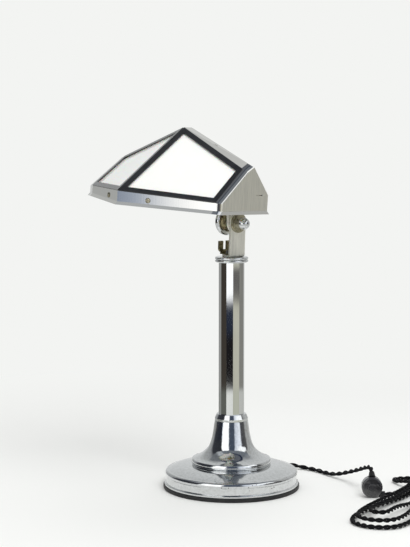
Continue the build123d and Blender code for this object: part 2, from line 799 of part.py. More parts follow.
def bulb_cap():
    """Bulb's metal cap, open towards the glass."""
    low = holder_cap_h + run_fit + insulator_h
    body = Cylinder(cap_r, cap_h, align=(Align.CENTER, Align.CENTER, Align.MIN))
    body = chamfer(body.edges().sort_by(Axis.Z)[0], cap_r / 2, cap_r / 3)
    hollow = Pos(0, 0, cap_h / 2) * Cylinder(
        cap_r - cap_wall, cap_h, align=(Align.CENTER, Align.CENTER, Align.MIN))
    return holder_frame() * Pos(0, 0, low) * (body - hollow)


def bulb_glass():
    """Round bulb with a neck set in the cap."""
    low = holder_cap_h + run_fit + insulator_h + cap_h * 0.6
    blend = Pos(0, 0, low) * Cylinder(
        bulb_neck_r, bulb_centre - low, align=(Align.CENTER, Align.CENTER, Align.MIN))
    body = blend + Pos(0, 0, bulb_centre) * Sphere(bulb_r)
    hollow = Pos(0, 0, low - overrun) * Cylinder(
        bulb_neck_r - bulb_wall, bulb_centre - low, align=(Align.CENTER, Align.CENTER, Align.MIN))
    return holder_frame() * (body - hollow - Pos(0, 0, bulb_centre) * Sphere(bulb_r - bulb_wall))


# Flex

def bend_radii(points):
    """Radius at each inner point: 0.45 of the shorter run over the tangent of half the turn."""
    spots = [Vector(p) for p in points]
    radii = []
    for a, b, c in zip(spots, spots[1:], spots[2:]):
        turn = radians((b - a).get_angle(c - b))
        radii.append(0.45 * min((b - a).length, (c - b).length) / tan(turn / 2))
    return radii


def flex(name, points):
    """Free stretch of flex: straight runs joined by tangent arcs."""
    radii = bend_radii(points)
    path = FilletPolyline(*points, radius=radii)
    tube = sweep(Plane(path ^ 0) * Circle(flex_r), path=path)
    print(name, "radii", [round(r, 1) for r in radii], "length", round(path.length, 1),
          "volume ratio", round(tube.volume / (pi * flex_r ** 2 * path.length), 4))
    return tube, path.length


def exit_point(out):
    """Point on the flex's exit axis at a distance from the stem's axis."""
    return (out * cos(radians(exit_angle)), out * sin(radians(exit_angle)), exit_z)


def bush_face():
    return lip_r + bush_flange_t


def hank_location():
    return Location((hank_x, hank_y, 0), (0, 0, hank_angle))


def ease(start, end):
    """Two equal arcs between points whose tangents both lie along the hank."""
    a, b = Vector(start), Vector(end)
    along, across = b.X - a.X, Vector(0, b.Y - a.Y, b.Z - a.Z)
    mid = (a + b) * 0.5
    radius = (along ** 2 + across.length ** 2) / (4 * across.length)
    sag = across.normalized() * (radius - (radius ** 2 - (along / 4) ** 2) ** 0.5)
    return [ThreePointArc(a, a + Vector(along / 4, 0, 0) + sag, mid),
            ThreePointArc(mid, b - Vector(along / 4, 0, 0) - sag, b)]


def half_turn(u, v0, v1, z):
    """Half turn from v0 to v1, rounding the end of the hank that u lies at."""
    side = 1 if u > 0 else -1
    return [ThreePointArc((u, v0, z), (u + side * abs(v1 - v0) / 2, (v0 + v1) / 2, z), (u, v1, z))]


def hank_path():
    """Open spiral of long loops in two layers, drawn in at the waist; the climb lies along a run."""
    low, high, step = hank_low, hank_high, hank_step
    waist, near, far = waist_half_w, near_half_w, far_half_w
    fold_left, fold_right = fold_mid + fold_r, fold_mid - fold_r
    edges = ease((hank_start, far + step + floor_gap, low), (far_u, far + step, low))
    edges += half_turn(far_u, far + step, -far - step, low)
    edges += ease((far_u, -far - step, low), (0, -waist - step, low))
    edges += ease((0, -waist - step, low), (near_u, -near - step, low))
    edges += half_turn(near_u, -near - step, near + step, low)
    edges += ease((near_u, near + step, low), (0, waist, low))
    edges += ease((0, waist, low), (far_u, far, low))
    edges += half_turn(far_u, far, -far, low)
    edges += ease((far_u, -far, low), (0, -waist, low))
    edges.append(Line((0, -waist, low), (climb_from, -waist, low)))
    edges += ease((climb_from, -waist, low), (fold_u, fold_right, high))
    edges += half_turn(fold_u, fold_right, fold_left, high)
    edges += ease((fold_u, fold_left, high), (drawn_from, waist, high))
    edges.append(Line((drawn_from, waist, high), (0, waist, high)))
    edges += ease((0, waist, high), (far_u, far, high))
    edges += half_turn(far_u, far, -far, high)
    edges += ease((far_u, -far, high), (0, -waist, high))
    edges += ease((0, -waist, high), (near_u, -near, high))
    edges += half_turn(near_u, -near, near, high)
    edges += ease((near_u, near, high), (0, waist + step + floor_gap, high))
    return Wire(edges)


def hank():
    """Loose loops of flex as one unbroken tube."""
    path = hank_path()
    tube = sweep(Plane(path ^ 0) * Circle(flex_r), path=path)
    count = int(path.length / flex_r)
    spots = [path @ (i / count) for i in range(count + 1)]
    skip = int(4 * flex_r * count / path.length) + 2
    least = min((a - b).length for i, a in enumerate(spots) for b in spots[i + skip:])
    print("hank length", round(path.length, 1), "least gap", round(least - 2 * flex_r, 2),
          "volume ratio", round(tube.volume / (pi * flex_r ** 2 * path.length), 4))
    return hank_location() * tube, path.length


def hank_point(x, y, z):
    """Point given in the hank's own frame."""
    spot = (hank_location() * Pos(x, y, z)).position
    return (spot.X, spot.Y, spot.Z)


def switch_frame():
    """Frame at the switch's middle: X to the side, Y away along its axis, +Z up."""
    return Location((switch_x, switch_y, switch_r + floor_gap), (0, 0, switch_angle))


def outlet_point(out):
    """Point on the lower outlet's axis at a distance from the switch's middle."""
    spot = (switch_frame() * Pos(out, 0, outlet_drop())).position
    return (spot.X, spot.Y, spot.Z)


def outlet_drop():
    return outlet_r - switch_r


def switch_half(side):
    """Half of the round switch housing; side -1 carries the button's well."""
    body = Cylinder(switch_r, switch_t / 2 - switch_joint / 2, align=(Align.CENTER, Align.CENTER, Align.MIN))
    body = fillet(body.edges().filter_by(GeomType.CIRCLE).sort_by(Axis.Z)[-1], switch_fillet)
    tip = Pos(0, 0, switch_t / 2) * Cylinder(switch_face_r, 2 * switch_face_sink)
    body -= tip
    if side < 0:
        body -= Cylinder(button_r + run_fit, 2 * switch_t)
    turned = Pos(0, side * switch_joint / 2, 0) * Rot(-90 * side, 0, 0) * body
    return switch_frame() * turned


def sleeve_frame(out):
    """Frame on the leaning sleeve's axis, out from the top of the switch."""
    return switch_frame() * Pos(0, 0, switch_r) * Rot(-sleeve_lean, 0, 0) * Pos(0, 0, out)


def switch_sleeve():
    """Tapered sleeve on top of the switch where the flex enters, leaning towards it."""
    root = sleeve_r / 2
    cone = Cone(sleeve_r, sleeve_tip_r, sleeve_h + root, align=(Align.CENTER, Align.CENTER, Align.MIN))
    return sleeve_frame(-root) * cone - switch_frame() * Rot(90, 0, 0) * Cylinder(switch_r + run_fit, 2 * switch_t)


def switch_outlet():
    """Short sleeve at the switch's lower side where the flex leaves."""
    body = Cylinder(outlet_r, outlet_l, align=(Align.CENTER, Align.CENTER, Align.MIN))
    body = switch_frame() * Location((outlet_out, 0, outlet_drop()), (0, 90, 0)) * body
    return body - switch_frame() * Rot(90, 0, 0) * Cylinder(switch_r + run_fit, 2 * switch_t)


def switch_button():
    """Round push button, stood proud of the near half."""
    body = Cylinder(button_r, button_h, align=(Align.CENTER, Align.CENTER, Align.MIN))
    body = fillet(body.edges().sort_by(Axis.Z)[-1], button_travel / 3)
    root = switch_t / 2 - switch_face_sink + button_stand - button_h
    return switch_frame() * Pos(0, -root, 0) * Rot(90, 0, 0) * body


def plug_frame():
    return Location((plug_x, plug_y, plug_t / 2 + floor_gap), (0, 0, plug_angle))


def plug_body():
    """Flat two-pin plug, waisted to a tail, lying on its broad side."""
    outline = Polygon((0, plug_tail_w / 2), (plug_tail_l, plug_tail_w / 2), (plug_tail_l + plug_nose_w / 2, plug_w / 2),
                      (plug_tail_l + plug_l, plug_w / 2), (plug_tail_l + plug_l, -plug_w / 2),
                      (plug_tail_l + plug_nose_w / 2, -plug_w / 2), (plug_tail_l, -plug_tail_w / 2),
                      (0, -plug_tail_w / 2), align=None)
    body = extrude(outline, amount=plug_t / 2, both=True)
    body = fillet(body.edges().filter_by(Axis.Z), plug_fillet / 2)
    for y in (-pin_pitch / 2, pin_pitch / 2):
        body -= Pos(plug_tail_l + plug_l - pin_root, y, 0) * Rot(0, 90, 0) * Cylinder(
            pin_r + run_fit, pin_root + overrun, align=(Align.CENTER, Align.CENTER, Align.MIN))
    return plug_frame() * body


def plug_pins():
    """Two round pins set in the plug."""
    pin = Cylinder(pin_r, pin_l + pin_root, align=(Align.CENTER, Align.CENTER, Align.MIN))
    pin = fillet(pin.edges().sort_by(Axis.Z)[-1], pin_r / 2)
    spots = [plug_frame() * Location((plug_tail_l + plug_l - pin_root, y, 0), (0, 90, 0))
             for y in (-pin_pitch / 2, pin_pitch / 2)]
    return Compound(children=[s for spot in spots for s in (spot * pin).solids()])


def flex_parts():
    """The flex's free stretches, the hank and what is on it."""
    into = [tuple(sleeve_frame(out).position) for out in (sleeve_h + sleeve_run, sleeve_h)]
    laid = [(x, foot_r + y, z) for x, y, z in lead_points]
    lead, a = flex("lead", [exit_point(bush_face()), exit_point(bush_face() + exit_run), *laid, *into])
    laid = [(x, foot_r + y, z) for x, y, z in link_points]
    hank_in = hank_point(hank_start, far_half_w + hank_step + floor_gap, hank_low)
    link, b = flex("link", [outlet_point(outlet_out + outlet_l), *laid, hank_in])
    tail_start = hank_point(0, waist_half_w + hank_step + floor_gap, hank_high)
    plug_in = plug_frame().position
    tail, c = flex("tail", [tail_start, *[hank_point(*p) for p in tail_points], (plug_in.X, plug_in.Y, plug_in.Z)])
    coil, d = hank()
    print("flex in all", round(a + b + c + d, 1))
    return {"flex_lead": lead, "flex_link": link, "flex_tail": tail, "flex_hank": coil}


def hood_parts():
    """What turns with the hood, set in its place on the pivot."""
    local = {"hood_shell": hood_shell(), "hood_arm": hood_arm(), "arm_screws": arm_screws(),
             "fascia_clips": both_sides(fascia_clip()), "fascia_screws": both_sides(fascia_screw()),
             "glazing_near": glazing_frame(), "pane_near": opal_pane(),
             "glazing_far": mirror(glazing_frame(), about=Plane.YZ), "pane_far": mirror(opal_pane(), about=Plane.YZ),
             "holder_nipple": nipple(), "holder_nut": nipple_nut(), "holder_shell": holder_shell(),
             "holder_insulator": insulator(), "holder_contact": centre_contact(),
             "bulb_cap": bulb_cap(), "bulb_glass": bulb_glass()}
    return {name: hood_place * piece for name, piece in local.items()}


def main():
    parts = {"felt_pad": felt_pad(), "foot_ring": foot_ring(), "base_shell": base_shell(), "ballast": ballast(),
             "base_washer": base_washer(), "base_nut": base_nut(), "cord_bush": cord_bush(),
             "neck_ring": neck_ring(), "stem_tube": stem_tube(), "stem_collar": stem_collar(),
             "tie_rod": tie_rod(), "top_nut": top_nut(), "yoke_strap": yoke_strap(), "flex_fork": flex_fork(),
             "friction_disc": friction_disc(), "hub_spacer": hub_spacer(), "pivot_bolt": pivot_bolt(),
             "pivot_washer_large": pivot_washer(washer_a_r, strap_right),
             "pivot_washer_small": pivot_washer(washer_b_r, strap_right + pivot_washer_t),
             "ball_nut": ball_nut(), "switch_near": switch_half(-1), "switch_far": switch_half(1),
             "switch_sleeve": switch_sleeve(), "switch_outlet": switch_outlet(), "switch_button": switch_button(),
             "plug_body": plug_body(), "plug_pins": plug_pins()}
    parts.update(hood_parts())
    parts.update(flex_parts())
    os.makedirs("parts", exist_ok=True)
    for name, piece in parts.items():
        piece.label = name
        export_step(piece, f"parts/{name}.step")


main()
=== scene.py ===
"""Looks of a table lamp: chromed foot, twelve-sided stem, tilting hood with two opal panes, twisted flex.

Metres, +Z up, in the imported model's frame: the origin is the middle of the foot's underside
and the hood's prow points towards -Y.
"""

import logging
import math
from dataclasses import dataclass, field
from enum import Enum
from typing import Mapping, Sequence, Union

import bmesh
import bpy
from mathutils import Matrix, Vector

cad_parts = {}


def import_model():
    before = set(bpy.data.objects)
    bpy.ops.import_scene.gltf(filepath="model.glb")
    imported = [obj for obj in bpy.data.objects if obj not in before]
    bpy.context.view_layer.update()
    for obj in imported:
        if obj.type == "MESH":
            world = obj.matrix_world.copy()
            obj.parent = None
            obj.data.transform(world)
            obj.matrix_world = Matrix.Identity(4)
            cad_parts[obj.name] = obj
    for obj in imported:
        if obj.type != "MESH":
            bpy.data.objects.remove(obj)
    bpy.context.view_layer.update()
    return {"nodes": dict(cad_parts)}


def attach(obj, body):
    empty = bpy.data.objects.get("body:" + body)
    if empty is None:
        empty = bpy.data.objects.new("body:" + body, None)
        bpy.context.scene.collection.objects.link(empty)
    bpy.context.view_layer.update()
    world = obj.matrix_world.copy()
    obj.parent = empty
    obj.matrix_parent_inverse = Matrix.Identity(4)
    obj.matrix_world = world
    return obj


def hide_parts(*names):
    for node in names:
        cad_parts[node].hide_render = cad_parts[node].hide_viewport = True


LOG = logging.getLogger("lamp")
MM = 0.001

Tree = bpy.types.NodeTree
Node = bpy.types.Node
Socket = bpy.types.NodeSocket
Material = bpy.types.Material
Mesh = bpy.types.Mesh
Value = Union[float, tuple, Socket]
Spot = tuple[float, float, float]
Span = tuple[float, float]
Stop = tuple[float, str, float]


# Nodes


def linear(code: str, level: float = 1.0) -> tuple[float, float, float, float]:
    """Turn an sRGB hex colour to linear RGBA.

    Args:
        code: colour as "#RRGGBB".
        level: factor on the linear colour.

    Returns:
        Linear red, green, blue and an alpha of one.
    """
    parts = [int(code[i:i + 2], 16) / 255 for i in (1, 3, 5)]
    lin = [c / 12.92 if c <= 0.04045 else ((c + 0.055) / 1.055) ** 2.4 for c in parts]
    return (lin[0] * level, lin[1] * level, lin[2] * level, 1.0)


def add_node(
    tree: Tree,
    kind: str,
    inputs: Mapping[Union[str, int], Value] | None = None,
    **settings: object,
) -> Node:
    """Add one shader node with its settings and links.

    Args:
        tree: node tree that the node goes into.
        kind: node type without its "ShaderNode" prefix.
        inputs: value or source socket for each input, by name or index.
        settings: attributes of the node itself.

    Returns:
        The new node.
    """
    node = tree.nodes.new("ShaderNode" + kind)
    for name, setting in settings.items():
        setattr(node, name, setting)
    for name, value in (inputs or {}).items():
        if isinstance(value, Socket):
            tree.links.new(value, node.inputs[name])
        else:
            node.inputs[name].default_value = value
    return node


def object_place(tree: Tree) -> Socket:
    """Return the piece's own coordinates."""
    return add_node(tree, "TexCoord").outputs["Object"]


def facing(tree: Tree, axis: int) -> Socket:
    """Return one part of the surface's normal, from -1 to 1."""
    return add_node(tree, "SeparateXYZ", {0: add_node(tree, "TexCoord").outputs["Normal"]}).outputs[axis]


def maths(tree: Tree, operation: str, *values: Value) -> Socket:
    """Add a maths node for one of Blender's operations and return its result."""
    return add_node(tree, "Math", dict(enumerate(values)), operation=operation).outputs[0]


def reach(tree: Tree, place: Socket, way: Spot) -> Socket:
    """Return how far a place lies along a vector: their dot product."""
    return add_node(tree, "VectorMath", {0: place, 1: way}, operation="DOT_PRODUCT").outputs["Value"]


def remap(tree: Tree, value: Socket, span: Span, out: Span = (0.0, 1.0), smooth: bool = False) -> Socket:
    """Map a span of values to another, and clamp what lies outside.

    Args:
        tree: node tree that the node goes into.
        value: what is mapped.
        span: first and last value that count.
        out: what these become.
        smooth: whether the ends are eased.

    Returns:
        Socket with the result.
    """
    inputs = {"Value": value, "From Min": span[0], "From Max": span[1], "To Min": out[0], "To Max": out[1]}
    kind = "SMOOTHSTEP" if smooth else "LINEAR"
    return add_node(tree, "MapRange", inputs, interpolation_type=kind).outputs[0]


def noise(tree: Tree, place: Socket, size: float, detail: float, roughness: float = 0.5) -> Socket:
    """Add a noise pattern.

    Args:
        tree: node tree that the node goes into.
        place: coordinates.
        size: real width of its largest specks, in metres.
        detail: how many finer steps it has.
        roughness: how strong these are.

    Returns:
        Socket with the pattern, mostly from 0.3 to 0.7.
    """
    inputs = {"Vector": place, "Scale": 1 / size, "Detail": detail, "Roughness": roughness}
    return add_node(tree, "TexNoise", inputs).outputs[0]


def stretched(tree: Tree, place: Socket, share: float) -> Socket:
    """Return coordinates whose height counts by a share only, so that a pattern is drawn out upright."""
    return add_node(tree, "Mapping", {"Vector": place, "Scale": (1.0, 1.0, share)}).outputs[0]


def blend(tree: Tree, share: Socket, below: Value, above: Value) -> Socket:
    """Mix two colours by the share of the second."""
    return add_node(tree, "Mix", {0: share, 6: below, 7: above}, data_type="RGBA").outputs[2]


def background(tree: Tree, colour: Value, strength: float) -> Socket:
    """Return a world's background shader."""
    return add_node(tree, "Background", {0: colour, 1: strength}).outputs[0]


def choose(tree: Tree, share: Socket, below: Socket, above: Socket) -> Socket:
    """Mix two shaders by the share of the second."""
    return add_node(tree, "MixShader", {0: share, 1: below, 2: above}).outputs[0]


def bumped(tree: Tree, height: Socket, strength: float, depth: float, under: Socket | None = None) -> Socket:
    """Turn a height into a bumped normal.

    Args:
        tree: node tree that the node goes into.
        height: the pattern.
        strength: how much of it shows.
        depth: real height of a step of one, in metres.
        under: normal that the bump goes on, if it isn't the surface's own.

    Returns:
        Socket with the normal.
    """
    inputs = {"Height": height, "Strength": strength, "Distance": depth}
    if under is not None:
        inputs["Normal"] = under
    return add_node(tree, "Bump", inputs).outputs[0]


def wire(tree: Tree, shader: Node, sources: Mapping[str, Socket]) -> None:
    """Link a source to each named input of a shader."""
    for name, source in sources.items():
        tree.links.new(source, shader.inputs[name])


# Finishes


@dataclass(frozen=True)
class Finish:
    """What every finish has: a name, a colour and a gloss."""

    name: str
    colour: str
    roughness: float

    def make(self) -> Material:
        """Build the material.

        Returns:
            The new material.
        """
        material = bpy.data.materials.new(self.name)
        material.use_nodes = True
        tree = material.node_tree
        shader = tree.nodes["Principled BSDF"]
        shader.inputs["Base Color"].default_value = linear(self.colour)
        shader.inputs["Roughness"].default_value = self.roughness
        self.dress(tree, shader)
        return material

    def dress(self, tree: Tree, shader: Node) -> None:
        """Add the finish's own nodes; a plain finish has none."""


class Grain(Enum):
    """Which way the polishing lines of a metal run."""

    SPUN = "round the lamp's axis"
    UPRIGHT = "up and down"
    NONE = "no lines"


@dataclass(frozen=True)
class Plate(Finish):
    """Electroplated metal: mirror gloss, fine polishing lines, dark pits where the plating has lifted."""

    grain: Grain = Grain.NONE
    # Polishing lines: width, depth, and how far they are drawn out where they run upright
    line: float = 0.35 * MM
    line_depth: float = 0.02
    line_gain: float = 4.0
    line_relief: float = 0.2 * MM
    line_stretch: float = 0.02
    line_detail: float = 2.0
    # Pits: distance apart, size, and what they do to the gloss
    pit: float = 4.0 * MM
    pit_share: float = 0.10
    pit_growth: float = 1.6
    pit_edge: float = 0.05
    pit_depth: float = 0.6
    pit_dull: float = 0.35
    pit_colour: str = "#56524B"
    # Cloudy gloss, and patches of the same kind where the pits gather
    cloud: float = 26 * MM
    cloud_span: Span = (0.3, 0.7)
    cloud_detail: float = 4.0
    patch_scale: float = 0.6
    patch_span: Span = (0.5, 0.72)
    patch_detail: float = 2.0
    spread: float = 0.05
    sharpest: float = 0.02
    # Thin haze, brushed along the grain where that runs upright
    haze: float = 0.0
    haze_colour: str = "#8F8D88"
    haze_size: float = 5 * MM
    haze_span: Span = (0.42, 0.72)
    brush_detail: float = 6.0
    brush_roughness: float = 0.7
    brush_stretch: float = 0.06

    def dress(self, tree: Tree, shader: Node) -> None:
        """Add cloudy gloss, a thin haze, polishing lines and pits.

        Args:
            tree: the material's node tree.
            shader: its principled shader.
        """
        shader.inputs["Metallic"].default_value = 1.0
        place = object_place(tree)
        gloss = remap(tree, noise(tree, place, self.cloud, self.cloud_detail), self.cloud_span,
                      (max(self.sharpest, self.roughness - self.spread), self.roughness + self.spread))
        veil = remap(tree, self.brushing(tree, place, self.haze_size), self.haze_span, (0.0, self.haze))
        clear = blend(tree, veil, linear(self.colour), linear(self.haze_colour))
        pits = self.pits(tree, place)
        height = maths(tree, "MULTIPLY_ADD", pits, -self.pit_depth, self.lines(tree, place))
        wire(tree, shader, {
            "Base Color": blend(tree, pits, clear, linear(self.pit_colour)),
            "Roughness": maths(tree, "MULTIPLY_ADD", pits, self.pit_dull, gloss),
            "Normal": bumped(tree, height, self.line_depth * self.line_gain, self.line_relief)})

    def pits(self, tree: Tree, place: Socket) -> Socket:
        """Return where the plating has lifted: round pits that gather in patches.

        Args:
            tree: the material's node tree.
            place: object coordinates.

        Returns:
            Socket with 1 inside a pit.
        """
        cells = add_node(tree, "TexVoronoi", {"Vector": place, "Scale": 1 / self.pit, "Randomness": 1.0})
        patches = noise(tree, place, self.cloud / self.patch_scale, self.patch_detail)
        radius = remap(tree, patches, self.patch_span, (0.0, self.pit_share * self.pit_growth))
        return remap(tree, maths(tree, "SUBTRACT", radius, cells.outputs["Distance"]), (0.0, self.pit_edge))

    def brushing(self, tree: Tree, place: Socket, size: float) -> Socket:
        """Return a cloudy pattern, drawn out along the brushing if that runs upright.

        Args:
            tree: the material's node tree.
            place: object coordinates.
            size: width of its largest specks.

        Returns:
            Socket with the pattern.
        """
        if self.grain is Grain.UPRIGHT:
            place = stretched(tree, place, self.brush_stretch)
        return noise(tree, place, size, self.brush_detail, self.brush_roughness)

    def lines(self, tree: Tree, place: Socket) -> Socket:
        """Return the height of the polishing lines.

        Args:
            tree: the material's node tree.
            place: object coordinates.

        Returns:
            Socket with the lines' height from 0 to 1.
        """
        if self.grain is Grain.SPUN:
            axes = add_node(tree, "SeparateXYZ", {0: place}).outputs
            across = add_node(tree, "CombineXYZ", {0: axes[0], 1: axes[1]}).outputs[0]
            radius = add_node(tree, "VectorMath", {0: across}, operation="LENGTH").outputs["Value"]
            place = add_node(tree, "CombineXYZ", {0: radius, 1: axes[2]}).outputs[0]
        elif self.grain is Grain.UPRIGHT:
            place = stretched(tree, place, self.line_stretch)
        return noise(tree, place, self.line, self.line_detail)


@dataclass(frozen=True)
class FoldedSheet(Plate):
    """Plated sheet whose long walls kept their mirror while the two cheeks were brushed to a satin."""

    satin: float = 0.58
    satin_colour: str = "#E2E0D5"
    streak: float = 2 * MM
    streak_span: Span = (0.4, 0.8)
    streak_share: float = 0.3
    cheek_from: float = 0.90
    cheek_soft: float = 0.04
    front_until: float = -0.2
    fold: float = 11.0 * MM
    fold_slope: float = 0.95
    # Outward normal of each cheek, and how far the cheek lies from the piece's origin along it
    cheeks: tuple[tuple[Spot, float], ...] = (
        ((0.988, 0.147, -0.043), 0.0889), ((-0.988, 0.147, 0.043), 0.1159))

    def dress(self, tree: Tree, shader: Node) -> None:
        """Add the plate's nodes, then the cheeks' satin by the way that a wall faces.

        Args:
            tree: the material's node tree.
            shader: its principled shader.
        """
        super().dress(tree, shader)
        plated, mirror, under = (
            shader.inputs[name].links[0].from_socket for name in ("Base Color", "Roughness", "Normal"))
        side = maths(tree, "ABSOLUTE", facing(tree, 0))
        cheek = remap(tree, side, (self.cheek_from - self.cheek_soft, self.cheek_from))
        worn = remap(tree, self.brushing(tree, object_place(tree), self.streak), self.streak_span,
                     (0.0, self.streak_share))
        brushed = blend(tree, worn, linear(self.satin_colour), linear(self.haze_colour))
        wire(tree, shader, {
            "Base Color": blend(tree, cheek, plated, brushed),
            "Roughness": add_node(tree, "Mix", {0: cheek, 2: mirror, 3: self.satin}).outputs[0],
            "Normal": bumped(tree, self.folds(tree), 1.0, 1.0, under)})

    def folds(self, tree: Tree) -> Socket:
        """Return the height, in metres, that rounds the front walls towards the folds at the cheeks.

        Args:
            tree: the material's node tree.

        Returns:
            Socket with the height.
        """
        place = object_place(tree)
        inside = [maths(tree, "SUBTRACT", far, reach(tree, place, normal)) for normal, far in self.cheeks]
        share = remap(tree, maths(tree, "MINIMUM", *inside), (0.0, self.fold), (1.0, 0.0))
        square = maths(tree, "POWER", share, 2.0)
        drop = maths(tree, "MULTIPLY", square, -self.fold_slope * self.fold / 2)
        front = maths(tree, "LESS_THAN", facing(tree, 1), self.front_until)
        return maths(tree, "MULTIPLY", drop, front)


@dataclass(frozen=True)
class Tarnished(Finish):
    """Bare metal gone dull: clouds of dark oxide over a soft sheen."""

    dark: str = "#4A3F2B"
    cloud: float = 3.5 * MM
    share: float = 0.5
    share_gain: float = 0.3
    cloud_span: Span = (0.62, 0.82)
    cloud_detail: float = 5.0
    cloud_roughness: float = 0.6
    dull: float = 0.25
    strength: float = 0.15
    depth: float = 0.2 * MM

    def dress(self, tree: Tree, shader: Node) -> None:
        """Add the oxide's clouds.

        Args:
            tree: the material's node tree.
            shader: its principled shader.
        """
        shader.inputs["Metallic"].default_value = 1.0
        cloud = noise(tree, object_place(tree), self.cloud, self.cloud_detail, self.cloud_roughness)
        low, high = (edge - self.share * self.share_gain for edge in self.cloud_span)
        oxide = remap(tree, cloud, (low, high))
        wire(tree, shader, {
            "Base Color": blend(tree, oxide, linear(self.colour), linear(self.dark)),
            "Roughness": maths(tree, "MULTIPLY_ADD", oxide, self.dull, self.roughness),
            "Normal": bumped(tree, cloud, self.strength, self.depth)})


@dataclass(frozen=True)
class Grit(Finish):
    """Paint, casting, felt, rubber or moulded resin: a fine grit in height and a slight change of colour."""

    grit: float = 0.6 * MM
    detail: float = 3.0
    depth: float = 0.2
    other: str = "#000000"
    change: float = 0.3
    change_span: Span = (0.35, 0.7)
    cloud: float = 9 * MM
    sheen: float = 0.0
    coat: float = 0.0

    def dress(self, tree: Tree, shader: Node) -> None:
        """Add the grit, the cloudy colour, and the sheen or coat.

        Args:
            tree: the material's node tree.
            shader: its principled shader.
        """
        shader.inputs["Sheen Weight"].default_value = self.sheen
        shader.inputs["Coat Weight"].default_value = self.coat
        place = object_place(tree)
        cloud = noise(tree, place, self.cloud, self.detail)
        change = remap(tree, cloud, self.change_span, (0.0, self.change))
        wire(tree, shader, {
            "Base Color": blend(tree, change, linear(self.colour), linear(self.other)),
            "Normal": bumped(tree, noise(tree, place, self.grit, self.detail), self.depth, self.grit)})


@dataclass(frozen=True)
class OpalGlass(Finish):
    """Flashed opal: milk-white body under clear polished glass, very slightly uneven."""

    glow: float = 0.12
    glow_depth: float = 3 * MM
    polish: float = 0.3
    ripple: float = 30 * MM
    ripple_detail: float = 1.0
    ripple_tint: Span = (0.96, 1.0)
    ripple_strength: float = 0.05
    ripple_depth: float = 0.5 * MM

    def dress(self, tree: Tree, shader: Node) -> None:
        """Add light that spreads in the body and the rolled sheet's faint ripple.

        Args:
            tree: the material's node tree.
            shader: its principled shader.
        """
        shader.inputs["Subsurface Weight"].default_value = self.glow
        shader.inputs["Subsurface Scale"].default_value = self.glow_depth
        shader.inputs["Coat Weight"].default_value = self.polish
        ripple = noise(tree, object_place(tree), self.ripple, self.ripple_detail)
        tint = remap(tree, ripple, (0.0, 1.0), self.ripple_tint)
        milk = add_node(tree, "VectorMath", {0: linear(self.colour)[:3], 1: tint}, operation="MULTIPLY")
        wire(tree, shader, {
            "Base Color": milk.outputs[0],
            "Normal": bumped(tree, ripple, self.ripple_strength, self.ripple_depth)})


@dataclass(frozen=True)
class Braid(Finish):
    """Braided cotton over a flex's core: crossed threads that run along each strand, with painted shade in
    their hollows and a painted highlight on their crests.
    """

    length: float = 1.0
    girth: float = 8 * MM
    thread: float = 0.55 * MM
    # Colour of the weave's crests: a painted highlight over the darker hollows
    light: str = "#141418"
    sheen: float = 0.06
    shine: float = 0.15
    strength: float = 0.5
    depth: float = 0.25 * MM

    def dress(self, tree: Tree, shader: Node) -> None:
        """Add the braid from the strand's own UV map, whose u runs along it.

        Args:
            tree: the material's node tree.
            shader: its principled shader.
        """
        shader.inputs["Sheen Weight"].default_value = self.sheen
        shader.inputs["Specular IOR Level"].default_value = self.shine
        uv = add_node(tree, "UVMap", uv_map="UVMap").outputs[0]
        # Each wave takes half a turn per thread, along the strand and round it
        along = math.pi * (self.length / self.thread)
        around = math.pi * round(self.girth / self.thread)
        waves = [maths(tree, "SINE", reach(tree, uv, (along, way * around, 0.0))) for way in (1.0, -1.0)]
        height = remap(tree, maths(tree, "MULTIPLY", *waves), (-1.0, 1.0))
        # Base colour follows the weave's height: painted shade in the hollows, painted highlight on the
        # crests
        wire(tree, shader, {
            "Base Color": blend(tree, height, linear(self.colour), linear(self.light)),
            "Normal": bumped(tree, height, self.strength, self.depth)})


# Flex


def mesh_piece(name: str, mesh: Mesh, material: Material, body: str) -> bpy.types.Object:
    """Put a finished mesh in the scene as a piece of the lamp.

    Args:
        name: the piece's name.
        mesh: its mesh, in the lamp's frame.
        material: its finish.
        body: body that it rides on.

    Returns:
        The new object.
    """
    mesh.name = name
    mesh.materials.clear()
    mesh.materials.append(material)
    for face in mesh.polygons:
        face.use_smooth = True
    piece = bpy.data.objects.new(name, mesh)
    bpy.context.scene.collection.objects.link(piece)
    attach(piece, body)
    return piece


def curve_mesh(curve: bpy.types.Curve) -> Mesh:
    """Return the mesh that a curve makes, and delete the curve.

    Args:
        curve: the finished curve.

    Returns:
        Its mesh.
    """
    holder = bpy.data.objects.new(curve.name, curve)
    mesh = bpy.data.meshes.new_from_object(holder)
    bpy.data.objects.remove(holder)
    bpy.data.curves.remove(curve)
    return mesh


def line_of(points: Sequence[Vector]) -> list[Vector]:
    """Read the smooth line of a route: one NURBS spline with these control points.

    Args:
        points: the route's control points.

    Returns:
        Points along the spline, as Blender gives them.
    """
    curve = bpy.data.curves.new("route", "CURVE")
    curve.dimensions = "3D"
    curve.resolution_u = 16
    spline = curve.splines.new("NURBS")
    spline.points.add(len(points) - 1)
    for knot, spot in zip(spline.points, points):
        knot.co = (*spot, 1.0)
    spline.order_u = 3
    spline.use_endpoint_u = True
    mesh = curve_mesh(curve)
    line = [vertex.co.copy() for vertex in mesh.vertices]
    bpy.data.meshes.remove(mesh)
    return line


def length_of(line: Sequence[Vector]) -> float:
    """Return a line's length."""
    return sum((b - a).length for a, b in zip(line, line[1:]))


